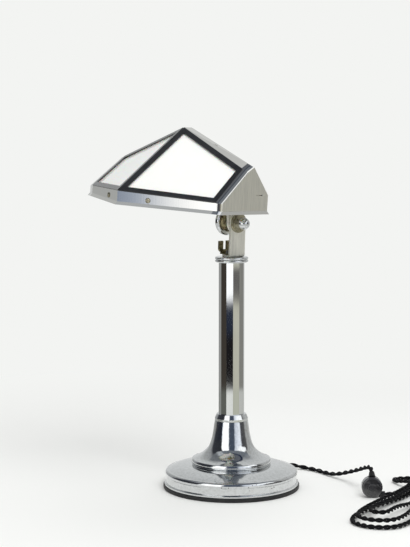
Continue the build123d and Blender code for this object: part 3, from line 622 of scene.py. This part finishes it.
def tube_along(points: Sequence[Vector], radii: Sequence[float], bevel: int) -> Mesh:
    """Make a closed tube along a line.

    Args:
        points: the line.
        radii: the tube's radius at each point.
        bevel: Blender's bevel resolution.

    Returns:
        The tube's mesh, with a UV map whose u runs along it.
    """
    curve = bpy.data.curves.new("tube", "CURVE")
    curve.dimensions = "3D"
    curve.bevel_depth = 1.0
    curve.bevel_resolution = bevel
    curve.use_fill_caps = True
    spline = curve.splines.new("POLY")
    spline.points.add(len(points) - 1)
    for knot, spot, radius in zip(spline.points, points, radii):
        knot.co, knot.radius = (*spot, 1.0), radius
    return curve_mesh(curve)


def joined(parts: Sequence[Mesh]) -> Mesh:
    """Put closed meshes into one, with all faces outward, and delete them.

    Args:
        parts: the meshes.

    Returns:
        The new mesh.
    """
    whole = bmesh.new()
    for part in parts:
        whole.from_mesh(part)
        bpy.data.meshes.remove(part)
    bmesh.ops.recalc_face_normals(whole, faces=whole.faces)
    mesh = bpy.data.meshes.new("joined")
    whole.to_mesh(mesh)
    whole.free()
    return mesh


@dataclass
class TwistedFlex:
    """Two braided cores laid round each other."""

    core_d: float = 2.65 * MM
    lay: float = 17.0 * MM
    step: float = 1.05 * MM
    bevel: int = 2

    @property
    def diameter(self) -> float:
        """Width of the pair."""
        return 2 * self.core_d

    def strands(self, line: Sequence[Vector]) -> Mesh:
        """Lay the two cores along a line.

        Args:
            line: the flex's centreline.

        Returns:
            One mesh with both cores.
        """
        spots, tangents = self.even(line)
        side = tangents[0].orthogonal().normalized()
        lanes: list[list[Vector]] = [[], []]
        for i, (spot, way) in enumerate(zip(spots, tangents)):
            if i:
                side = (side - way * side.dot(way)).normalized()
            turn = math.tau * i * self.step / self.lay
            out = side * math.cos(turn) + way.cross(side) * math.sin(turn)
            for lane, sign in zip(lanes, (1, -1)):
                lane.append(spot + out * (sign * self.core_d / 2))
        return joined([tube_along(lane, [self.core_d / 2] * len(lane), self.bevel) for lane in lanes])

    def even(self, line: Sequence[Vector]) -> tuple[list[Vector], list[Vector]]:
        """Step along a line evenly.

        Args:
            line: points along the spline.

        Returns:
            Points a step apart and the direction at each.
        """
        spots, rest = [line[0].copy()], 0.0
        for a, b in zip(line, line[1:]):
            run = (b - a).length
            while run > 0 and rest + run >= self.step:
                a = a + (b - a) * ((self.step - rest) / run)
                spots.append(a.copy())
                run, rest = (b - a).length, 0.0
            rest += run
        ways = [(q - p).normalized() for p, q in zip(spots, spots[1:])]
        ways.append(ways[-1].copy())
        return spots, ways


def sway(start: Spot, end: Spot) -> list[Spot]:
    """Return two control points, a quarter in from either spot, for an S that runs along the hank."""
    quarter = (end[0] - start[0]) / 4
    return [(start[0] + quarter, start[1], start[2]), (end[0] - quarter, end[1], end[2])]


def half_turn(u: float, enter: float, leave: float, z: float) -> list[Spot]:
    """Return the control points of a half turn round one end of the hank.

    Args:
        u: where the turn starts and ends along the hank.
        enter: place across the hank where it starts.
        leave: place across the hank where it ends.
        z: height.

    Returns:
        Four control points outside the arc.
    """
    side = 1 if u > 0 else -1
    middle, half = (enter + leave) / 2, (enter - leave) / 2
    out = 1 / math.cos(math.pi / 8)
    angles = [math.pi * (2 * i + 1) / 8 for i in range(4)]
    return [(u + side * abs(half) * out * math.sin(a), middle + half * out * math.cos(a), z) for a in angles]


@dataclass
class Cords:
    """The flex: a lead from the foot to the switch, then a hank of loose loops and the plug.

    Points are in millimetres. The hank has its own frame: u along it, v across it to the left.
    """

    # The foot's bush: azimuth in degrees, radius, straight stretch and height
    exit_angle: float = 110.0
    exit_r: float = 80.4
    exit_run: float = 16.4
    exit_z: float = 10.7
    hank_place: tuple[float, float] = (165.7, 150.8)
    hank_angle: float = 115.0
    low: float = 2.9
    high: float = 8.8
    colour: str = "#040405"
    roughness: float = 0.9
    relief_l: float = 24.0
    relief_root: float = 4.6
    relief_tip: float = 3.0
    relief_bevel: int = 5
    tight: TwistedFlex = field(default_factory=TwistedFlex)
    slack: TwistedFlex = field(default_factory=lambda: TwistedFlex(lay=26.0 * MM))

    def lead_points(self) -> list[Spot]:
        """Lay out the lead.

        Returns:
            Control points from the foot's bush to the switch's sleeve.
        """
        angle = math.radians(self.exit_angle)
        out = [(math.cos(angle) * r, math.sin(angle) * r, self.exit_z)
               for r in (self.exit_r, self.exit_r + self.exit_run)]
        return out + [(-31.0, 113.0, 6.0), (-12.0, 126.5, 2.9), (9.0, 129.5, 2.9), (34.0, 126.5, 2.9),
                      (53.0, 124.0, 6.5), (70.0, 122.0, 12.0), (92.0, 116.5, 19.5), (108.0, 110.5, 25.5),
                      (121.0, 104.5, 30.0), (132.0, 100.0, 32.2), (137.37, 95.51, 27.84)]

    def hank_point(self, spot: Spot) -> Spot:
        """Turn a point of the hank's own frame to the lamp's.

        Args:
            spot: the point in the hank's frame.

        Returns:
            The same point in the lamp's frame.
        """
        u, v, z = spot
        angle = math.radians(self.hank_angle)
        return (self.hank_place[0] + u * math.cos(angle) - v * math.sin(angle),
                self.hank_place[1] + u * math.sin(angle) + v * math.cos(angle), z)

    def lower_loops(self) -> list[Spot]:
        """Lay out the lower layer: an outer loop, then half a narrower one inside it.

        Returns:
            Control points in the hank's frame.
        """
        z = self.low
        return [*sway((-12.0, 20.0, z), (25.0, 19.7, z)), *half_turn(25.0, 19.7, -19.7, z),
                *sway((25.0, -19.7, z), (0.0, -15.2, z)), *sway((0.0, -15.2, z), (-144.0, -31.2, z)),
                *half_turn(-144.0, -31.2, 31.2, z),
                *sway((-144.0, 31.2, z), (0.0, 9.0, z)), *sway((0.0, 9.0, z), (25.0, 13.5, z)),
                *half_turn(25.0, 13.5, -13.5, z),
                *sway((25.0, -13.5, z), (0.0, -9.0, z)), *sway((-40.0, -9.0, z), (-125.0, -4.0, self.high))]

    def upper_loops(self) -> list[Spot]:
        """Lay out the upper layer: a short loop folded in, then a wide one over all.

        Returns:
            Control points in the hank's frame.
        """
        z = self.high
        return [*half_turn(-125.0, -4.0, 18.0, z),
                *sway((-125.0, 18.0, z), (-45.0, 9.0, z)), *sway((0.0, 9.0, z), (28.0, 12.0, z)),
                *half_turn(28.0, 12.0, -15.0, z),
                *sway((28.0, -15.0, z), (0.0, -9.5, z)), *sway((0.0, -9.5, z), (-144.0, -25.0, z)),
                *half_turn(-144.0, -25.0, 25.0, z), *sway((-144.0, 25.0, z), (0.0, 15.5, z))]

    def rest_points(self) -> list[Spot]:
        """Lay out the rest of the flex, through the hank.

        Returns:
            Control points from the switch's outlet to the plug.
        """
        link = [(150.24, 104.29, 3.6), (155.4, 110.4, 3.5), (156.2, 119.0, 2.9)]
        tail = [(8.0, 15.5, 8.8), (17.0, 26.0, 8.8), (27.0, 41.0, 4.5), (39.0, 50.0, 2.9), (51.0, 43.0, 2.9),
                (57.0, 20.0, 3.5)]
        laid = [(-12.0, 20.0, self.low), *self.lower_loops(), *self.upper_loops(), *tail]
        return link + [self.hank_point(spot) for spot in laid] + [(156.6, 212.8, 7.1)]

    def cotton(self, name: str, line: Sequence[Vector]) -> Material:
        """Return the braid of one cord, with threads of one size whatever the cord's length."""
        return Braid(name, self.colour, self.roughness, length=length_of(line)).make()

    def build(self, rubber: Material) -> None:
        """Args:
            rubber: finish of the reliefs.
        """
        lead = line_of([Vector(spot) * MM for spot in self.lead_points()])
        cotton = self.cotton("lead_cotton", lead)
        piece = mesh_piece("lead_strands", self.slack.strands(lead), cotton, "base")
        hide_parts("flex_lead")
        LOG.info("lead_strands: %.3f m", length_of(lead))

        rest = line_of([Vector(spot) * MM for spot in self.rest_points()])
        cotton = self.cotton("hank_cotton", rest)
        piece = mesh_piece("hank_strands", self.tight.strands(rest), cotton, "base")
        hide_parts("flex_link", "flex_hank", "flex_tail")
        LOG.info("hank_strands: %.3f m", length_of(rest))
        self.relief("bush_relief", lead, rubber)
        self.relief("plug_relief", list(reversed(rest)), rubber)

    def relief(self, name: str, line: Sequence[Vector], rubber: Material) -> None:
        """Make a tapered relief round the flex's first stretch.

        Args:
            name: the piece's name.
            line: the flex's line from the housing outwards.
            rubber: the relief's finish.
        """
        spots, gone = [line[0]], 0.0
        radii = [self.relief_root * MM]
        for a, b in zip(line, line[1:]):
            gone += (b - a).length
            share = gone / (self.relief_l * MM)
            if share > 1:
                break
            spots.append(b)
            radii.append((self.relief_root + (self.relief_tip - self.relief_root) * share) * MM)
        shell = joined([tube_along(spots, radii, self.relief_bevel)])
        mesh_piece(name, shell, rubber, "base")
        LOG.info("%s", name)


# Studio


@dataclass(frozen=True)
class Layer:
    """One ring of the surroundings that metal mirrors: where it starts, half its soft edge, and its stops."""

    starts: float
    soft: float
    stops: tuple[Stop, ...]


def all_round(colour: str, level: float) -> tuple[Stop, ...]:
    """Return the stops of a layer of one colour."""
    return ((-180, colour, level), (180, colour, level))


@dataclass(frozen=True)
class Surroundings:
    """What stands round the lamp: a dark room with two windows, and white paper behind the lamp.

    Angles are in degrees. A stop gives an azimuth from the camera's side, negative to the left, then
    a colour and a factor on its light. A layer reaches up to the next one.
    """

    window: str = "#FFFFFF"
    paper: str = "#E9EBEB"
    night: str = "#2F3646"
    warm: str = "#D2D0C0"
    warm_high: str = "#D8D7C8"
    dim: str = "#716E6C"
    edge: str = "#95948C"
    ceiling: str = "#7C828A"
    pelmet: str = "#C4C8CC"
    zenith: str = "#2C3650"

    @property
    def shaded_left(self) -> tuple[Stop, ...]:
        """Paper going into the dark room, low on the left: the stem's two left facets."""
        return ((-180, "#C9CBCA", 0.70), (-150, "#C4C5C3", 0.80), (-132, "#B2B2AF", 0.80),
                (-110, "#98958F", 0.80), (-104, "#4A443D", 1.0), (-68, "#46413B", 1.0))

    @property
    def shaded_right(self) -> tuple[Stop, ...]:
        """The dark room going into paper, low on the right: the stem's right facet."""
        return ((104, "#93928C", 1.0), (122, "#A8A8A2", 1.0), (146, "#E8E9E7", 0.85), (180, "#C9CBCA", 0.70))

    @property
    def behind(self) -> tuple[Stop, ...]:
        """Paper behind the lamp, down to the dark room on the left."""
        return ((-180, self.paper, 0.92), (-160, "#DCDEDE", 0.92), (-150, "#B9BBBA", 0.95),
                (-128, "#A9ABAD", 0.95), (-114, "#3D3F45", 1.0))

    @property
    def window_edge(self) -> tuple[Stop, ...]:
        """The left window's curtained edge, which shades the hood's near fascia."""
        return ((-62, "#2A2F3C", 0.8), (-60.4, "#7F8CA4", 1.0), (-58.9, "#B9C3D4", 1.0))

    @property
    def high_window(self) -> tuple[Stop, ...]:
        """The left window above the lamp's height."""
        return ((-58, "#33353B", 1.0), (-53, self.window, 1.7), (-18, self.window, 1.9))

    @property
    def middle(self) -> tuple[Stop, ...]:
        """The wall between the windows, up to where the right window starts."""
        return ((-14, "#535D6E", 1.0), (18, "#4C5667", 1.0), (23, "#D2D8E4", 1.2))

    @property
    def right_window(self) -> tuple[Stop, ...]:
        """The rest of the pale right window, then dark wall and the start of the paper."""
        return ((56, "#E9EEF6", 1.4), (62, "#55565A", 1.0), (92, "#5C5C5C", 1.0), (102, "#B9BAB9", 1.0))

    def below_windows(self, shade: str) -> tuple[Stop, ...]:
        """Return the stops of a layer under the windows, with a shade that stands ahead of the lamp."""
        return (*self.shaded_left, (-60, shade, 1.0), (14, shade, 1.0), (24, self.warm, 1.0),
                (58, self.warm, 1.0), (97, "#A5A49A", 1.0), *self.shaded_right)

    def layers(self) -> list[Layer]:
        """Stack what metal mirrors.

        Returns:
            All layers, lowest first.
        """
        last = (180, self.paper, 0.92)
        return [
            Layer(-90.0, 0.5, all_round("#E9EAE8", 0.80)),
            # Floor near the lamp: the stem's foot
            Layer(-12.5, 0.4, (
                (-180, "#C9CBC8", 0.9), (-136, "#9A9C98", 1.0), (-110, "#8A8C86", 1.0),
                (-104, "#75776F", 1.0), (-66, "#6A6C66", 1.0), (-60, "#F2F3EE", 1.1), (14, "#F2F3EE", 1.1),
                (24, "#CBCCBC", 1.0), (60, "#CBCCBC", 1.0), (97, "#D5D5D0", 1.0), (180, "#C9CBC8", 0.9))),
            # Table edge and dark room: the long dark band on the stem's middle facet, blue towards its top
            Layer(-10.15, 0.12, self.below_windows("#212022")),
            Layer(-8.2, 0.3, self.below_windows(self.night)),
            # The left window's foot: the white top of that facet
            Layer(-7.0, 0.2, (
                *self.shaded_left, (-60, "#2A2322", 1.0), (-57, self.window, 1.5), (-9, self.window, 1.5),
                (-4, self.night, 1.0), (24, self.dim, 1.0), (58, self.dim, 1.0), (97, self.edge, 1.0),
                *self.shaded_right)),
            Layer(-5.8, 0.15, (
                *self.shaded_left, *self.window_edge, (-57, self.window, 1.5), (-9, self.window, 1.9),
                (-5, self.night, 1.0), (18, self.dim, 1.0), (23, self.warm_high, 1.0),
                (56, self.warm_high, 1.0), (62, "#77766F", 1.0), (97, self.edge, 1.0), *self.shaded_right)),
            # Both windows at the lamp's height: the hood's fascias and the top of the trumpet
            Layer(-3.0, 0.8, (
                *self.behind, *self.window_edge, (-57, self.window, 1.6), (-20, self.window, 1.9),
                *self.middle, *self.right_window, (150, "#C9CAC8", 0.85), last)),
            # Both windows above it: the trumpet
            Layer(9.0, 3.0, (*self.behind, *self.high_window, *self.middle, *self.right_window, last)),
            # A skylight on the right: the highlight along the fold beside the near pane
            Layer(23.0, 2.0, (
                *self.behind, *self.high_window, *self.middle, (50, "#F4F6F8", 1.6), (84, "#F4F6F8", 1.6),
                (92, "#5C5C5C", 1.0), (102, "#B9BAB9", 1.0), last)),
            # Under the ceiling: the trumpet's flare, the dish and the hood's lip
            Layer(47.0, 2.5, (
                (-180, self.paper, 0.90), (-160, "#D5D7D8", 0.90), (-146, "#7E8185", 1.0),
                (-104, "#777B80", 1.0), (-90, self.pelmet, 0.95), (-66, self.pelmet, 0.95),
                (-58, self.ceiling, 1.0), (98, self.ceiling, 1.0), (126, "#9EA1A4", 1.0),
                (142, "#C4C6C7", 1.0), (160, "#E3E5E5", 0.90), (180, self.paper, 0.90))),
            # A dark blue ring: the strips beside the near pane's frame
            Layer(66.7, 0.8, all_round(self.zenith, 0.80)),
            Layer(71.0, 1.5, all_round("#6A6E75", 1.0)),
        ]


@dataclass(frozen=True)
class SoftLamp:
    """One square lamp: its name, where it hangs, its side and its watts."""

    name: str
    place: Spot
    size: float
    power: float


@dataclass
class Studio:
    """Floor, surroundings, lamps and camera."""

    backdrop: str = "#F3F4F2"
    # Floor: paper up to near_r, backdrop from far_r on, mirrored by metal up to mirror_r
    floor_r: float = 3.0
    floor_corners: int = 96
    near_r: float = 0.42
    far_r: float = 0.85
    mirror_r: float = 0.40
    mirror_soft: float = 0.05
    # Highest factor that a stop may have, and strength of the even fill
    peak: float = 2.0
    fill: float = 0.62
    # Camera: focal length and frame in pixels, place in metres, angles in degrees
    focal: float = 1600.0
    frame_h: int = 547
    sensor_h: float = 36.0
    clip_start: float = 0.05
    camera_place: Spot = (1.4195, -1.1911, 0.448)
    camera_turn: Spot = (83.991, 0.0, 50.958)
    camera_azimuth: float = -40.0
    lamp_aim: Spot = (0.0, 0.0, 0.2)
    lamps: tuple[SoftLamp, ...] = (
        SoftLamp("key", (1.5, -0.5, 1.9), 1.3, 25.0), SoftLamp("top", (-0.4, 0.3, 2.3), 1.6, 11.0))
    surroundings: Surroundings = Surroundings()

    def build(self) -> None:
        """Make the whole studio."""
        self.camera()
        self.world()
        self.floor()
        for lamp in self.lamps:
            self.hang(lamp)
        bpy.context.scene.view_settings.view_transform = "Standard"
        LOG.info("studio")

    def camera(self) -> None:
        """Stand the camera where the photograph was taken from."""
        data = bpy.data.cameras.new("camera")
        data.sensor_fit = "VERTICAL"
        data.sensor_height = self.sensor_h
        data.lens = self.sensor_h * self.focal / self.frame_h
        data.clip_start = self.clip_start
        camera = bpy.data.objects.new("camera", data)
        camera.location = self.camera_place
        camera.rotation_euler = [math.radians(a) for a in self.camera_turn]
        bpy.context.scene.collection.objects.link(camera)
        bpy.context.scene.camera = camera

    def world(self) -> None:
        """Surround the lamp: even fill, backdrop for the camera, windows and dark room for the metal."""
        world = bpy.data.worlds.new("studio")
        bpy.context.scene.world = world
        world.use_nodes = True
        tree = world.node_tree
        tree.nodes.clear()
        way = add_node(tree, "SeparateXYZ", {0: add_node(tree, "TexCoord").outputs["Generated"]}).outputs
        azimuth = maths(tree, "ARCTAN2", way[1], way[0])
        turn = maths(tree, "MULTIPLY_ADD", azimuth, 1 / math.tau, 0.5 - self.camera_azimuth / 360)
        share = maths(tree, "FRACT", turn)
        lowest, *others = self.surroundings.layers()
        colour = self.ring(tree, share, lowest)
        for layer in others:
            low, high = (math.sin(math.radians(layer.starts + soft)) for soft in (-layer.soft, layer.soft))
            rise = remap(tree, way[2], (low, high), smooth=True)
            colour = blend(tree, rise, colour, self.ring(tree, share, layer))
        path = add_node(tree, "LightPath").outputs
        mirror = background(tree, colour, self.peak)
        fill = background(tree, linear("#FFFFFF"), self.fill)
        seen = background(tree, linear(self.backdrop), 1.0)
        lit = choose(tree, path["Is Glossy Ray"], fill, mirror)
        straight = maths(tree, "MAXIMUM", path["Is Camera Ray"], path["Is Transmission Ray"])
        add_node(tree, "OutputWorld", {0: choose(tree, straight, lit, seen)})

    def ring(self, tree: Tree, share: Socket, layer: Layer) -> Socket:
        """Draw one layer round the horizon.

        Args:
            tree: the world's node tree.
            share: how far round a direction lies, from 0 to 1.
            layer: the layer.

        Returns:
            Socket with its colour, as a share of the peak.
        """
        node = add_node(tree, "ValToRGB", {0: share})
        elements = node.color_ramp.elements
        while len(elements) < len(layer.stops):
            elements.new(1.0)
        for element, (angle, code, level) in zip(elements, layer.stops):
            element.position = (angle + 180) / 360
            element.color = linear(code, level / self.peak)
        return node.outputs[0]

    def floor(self) -> None:
        """Lay a pale floor that keeps the lamp's shadow and goes over into the backdrop."""
        disc = bmesh.new()
        bmesh.ops.create_circle(disc, cap_ends=True, segments=self.floor_corners, radius=self.floor_r)
        mesh = bpy.data.meshes.new("floor")
        disc.to_mesh(mesh)
        disc.free()
        mesh.materials.append(self.paper())
        floor = bpy.data.objects.new("floor", mesh)
        bpy.context.scene.collection.objects.link(floor)

    def paper(self) -> Material:
        """Make paper that metal mirrors near by only, and that turns to backdrop.

        Returns:
            The floor's material.
        """
        material = bpy.data.materials.new("paper_backdrop")
        material.use_nodes = True
        tree = material.node_tree
        tree.nodes.clear()
        away = add_node(tree, "VectorMath", {0: object_place(tree)}, operation="LENGTH").outputs["Value"]
        path = add_node(tree, "LightPath").outputs
        paper = add_node(tree, "BsdfDiffuse", {"Color": linear(self.backdrop)}).outputs[0]
        glow = add_node(tree, "Emission", {"Color": linear(self.backdrop), "Strength": 1.0}).outputs[0]
        clear = add_node(tree, "BsdfTransparent").outputs[0]
        far = remap(tree, away, (self.near_r, self.far_r), smooth=True)
        seen = maths(tree, "MULTIPLY", far, path["Is Camera Ray"])
        edge = (self.mirror_r - self.mirror_soft, self.mirror_r + self.mirror_soft)
        gone = maths(tree, "MULTIPLY", remap(tree, away, edge, smooth=True), path["Is Glossy Ray"])
        whole = choose(tree, gone, choose(tree, seen, paper, glow), clear)
        add_node(tree, "OutputMaterial", {0: whole})
        return material

    def hang(self, lamp: SoftLamp) -> None:
        """Hang one soft lamp that aims at the stem, unseen in the metal.

        Args:
            lamp: the lamp.
        """
        data = bpy.data.lights.new(lamp.name, "AREA")
        data.size, data.energy = lamp.size, lamp.power
        piece = bpy.data.objects.new(lamp.name, data)
        piece.location = lamp.place
        aim = Vector(self.lamp_aim) - Vector(lamp.place)
        piece.rotation_euler = aim.to_track_quat("-Z", "Y").to_euler()
        piece.visible_glossy = False
        bpy.context.scene.collection.objects.link(piece)


# Lamp


@dataclass
class Lamp:
    """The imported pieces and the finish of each."""

    nodes: Mapping[str, bpy.types.Object]
    finishes: dict[str, Material] = field(default_factory=dict)

    def wardrobe(self) -> dict[Finish, tuple[str, ...]]:
        """Choose the finishes.

        Returns:
            Each finish with the pieces that wear it.
        """
        return {
            # Chrome over spun brass: mirror bright, with rings left by the polishing mop
            Plate("spun_chrome", "#D9DBDC", 0.09, grain=Grain.SPUN, pit_share=0.14, haze=0.35,
                  haze_size=3 * MM): (
                "base_shell", "neck_ring", "stem_collar"),
            # Chrome over drawn tube: the same mirror, with lines up and down
            Plate("drawn_chrome", "#D9DBDC", 0.03, grain=Grain.UPRIGHT, line_depth=0.003, pit_share=0.01,
                  spread=0.015, haze=0.2): (
                "stem_tube", "friction_disc", "ball_nut", "pivot_bolt"),
            # Nickel over folded steel sheet: a softer, warmer gloss
            FoldedSheet("folded_nickel", "#DAD9D5", 0.045, grain=Grain.UPRIGHT, line=1.2 * MM,
                        line_depth=0.004, pit_share=0.05, spread=0.02): (
                "hood_shell",),
            # Nickel over brushed strip: no sharp reflections, faint vertical lines
            Plate("satin_nickel", "#F0EEE4", 0.58, grain=Grain.UPRIGHT, line_depth=0.03, pit_share=0.04,
                  haze=0.35, haze_size=3 * MM): (
                "yoke_strap", "hood_arm", "plug_pins", "fascia_clips"),
            # Brass that has lost its lacquer: brown-green and dull
            Tarnished("aged_brass", "#8E8566", 0.34): ("flex_fork", "hub_spacer"),
            # Turned brass kept indoors: still yellow, with few clouds
            Tarnished("turned_brass", "#B5A47A", 0.28, share=0.3): (
                "tie_rod", "holder_nipple", "holder_shell", "bulb_cap", "holder_contact"),
            # Nickel worn through to its brass: yellow-grey
            Tarnished("worn_nickel", "#B4AE98", 0.30, dark="#6E6750", share=0.4): (
                "pivot_washer_large", "pivot_washer_small", "fascia_screws"),
            # Plain steel fastenings: oiled grey
            Tarnished("mill_steel", "#8F8E8A", 0.34, dark="#4D4A45", share=0.35): (
                "base_washer", "base_nut", "top_nut", "holder_nut", "arm_screws"),
            # Rough grey casting with a little rust
            Grit("cast_iron", "#3C3B39", 0.7, grit=1.4 * MM, depth=0.5, other="#5A4536", change=0.4): (
                "ballast",),
            # Black stove paint on folded strip: even, with a soft shine
            Grit("black_paint", "#121316", 0.36, grit=0.5 * MM, depth=0.03, other="#303136", coat=0.6): (
                "glazing_near", "glazing_far"),
            # Moulded black rubber: matt, the lamp's dark line on the table
            Grit("foot_rubber", "#0F0F10", 0.55, grit=0.4 * MM, depth=0.15, other="#262626"): (
                "foot_ring", "cord_bush", "switch_sleeve", "switch_outlet"),
            # Green wool felt under the foot
            Grit("pressed_felt", "#2F4A38", 0.95, grit=0.9 * MM, depth=0.6, other="#22382A", sheen=0.4): (
                "felt_pad",),
            # Pressed resin: hard gloss with a faint mottle
            Grit("black_bakelite", "#2C2C2F", 0.26, grit=0.8 * MM, depth=0.02, other="#3B3A3A", coat=0.9): (
                "switch_near", "switch_far", "switch_button", "plug_body"),
            # Cream porcelain under a wet glaze
            Grit("glazed_porcelain", "#E9E6DD", 0.15, grit=2 * MM, depth=0.02, other="#D8D3C6", coat=0.5): (
                "holder_insulator",),
            # Milk-white panes, which show no lamp behind them
            OpalGlass("flashed_opal", "#F7F9F5", 0.12): ("pane_near", "pane_far"),
            # The bulb's etched glass: matt and softly lit through
            OpalGlass("frosted_bulb", "#F1F0EA", 0.45, glow=0.3): ("bulb_glass",),
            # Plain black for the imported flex, which the braided strands replace
            Grit("flex_core", "#141416", 0.8): ("flex_lead", "flex_link", "flex_hank", "flex_tail"),
        }

    def dress(self) -> None:
        """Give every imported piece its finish."""
        for finish, names in self.wardrobe().items():
            material = finish.make()
            self.finishes[finish.name] = material
            for name in names:
                for place in self.nodes[name].material_slots:
                    place.link = "OBJECT"
                    place.material = material
            LOG.info("%s: %s", finish.name, ", ".join(names))


def main() -> None:
    """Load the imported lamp, dress it, add the flex and build the studio."""
    logging.basicConfig(level=logging.INFO, format="%(message)s")
    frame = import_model()
    studio = Studio()
    studio.build()
    lamp = Lamp(frame["nodes"])
    lamp.dress()
    Cords().build(lamp.finishes["foot_rubber"])


if __name__ == "__main__":
    main()
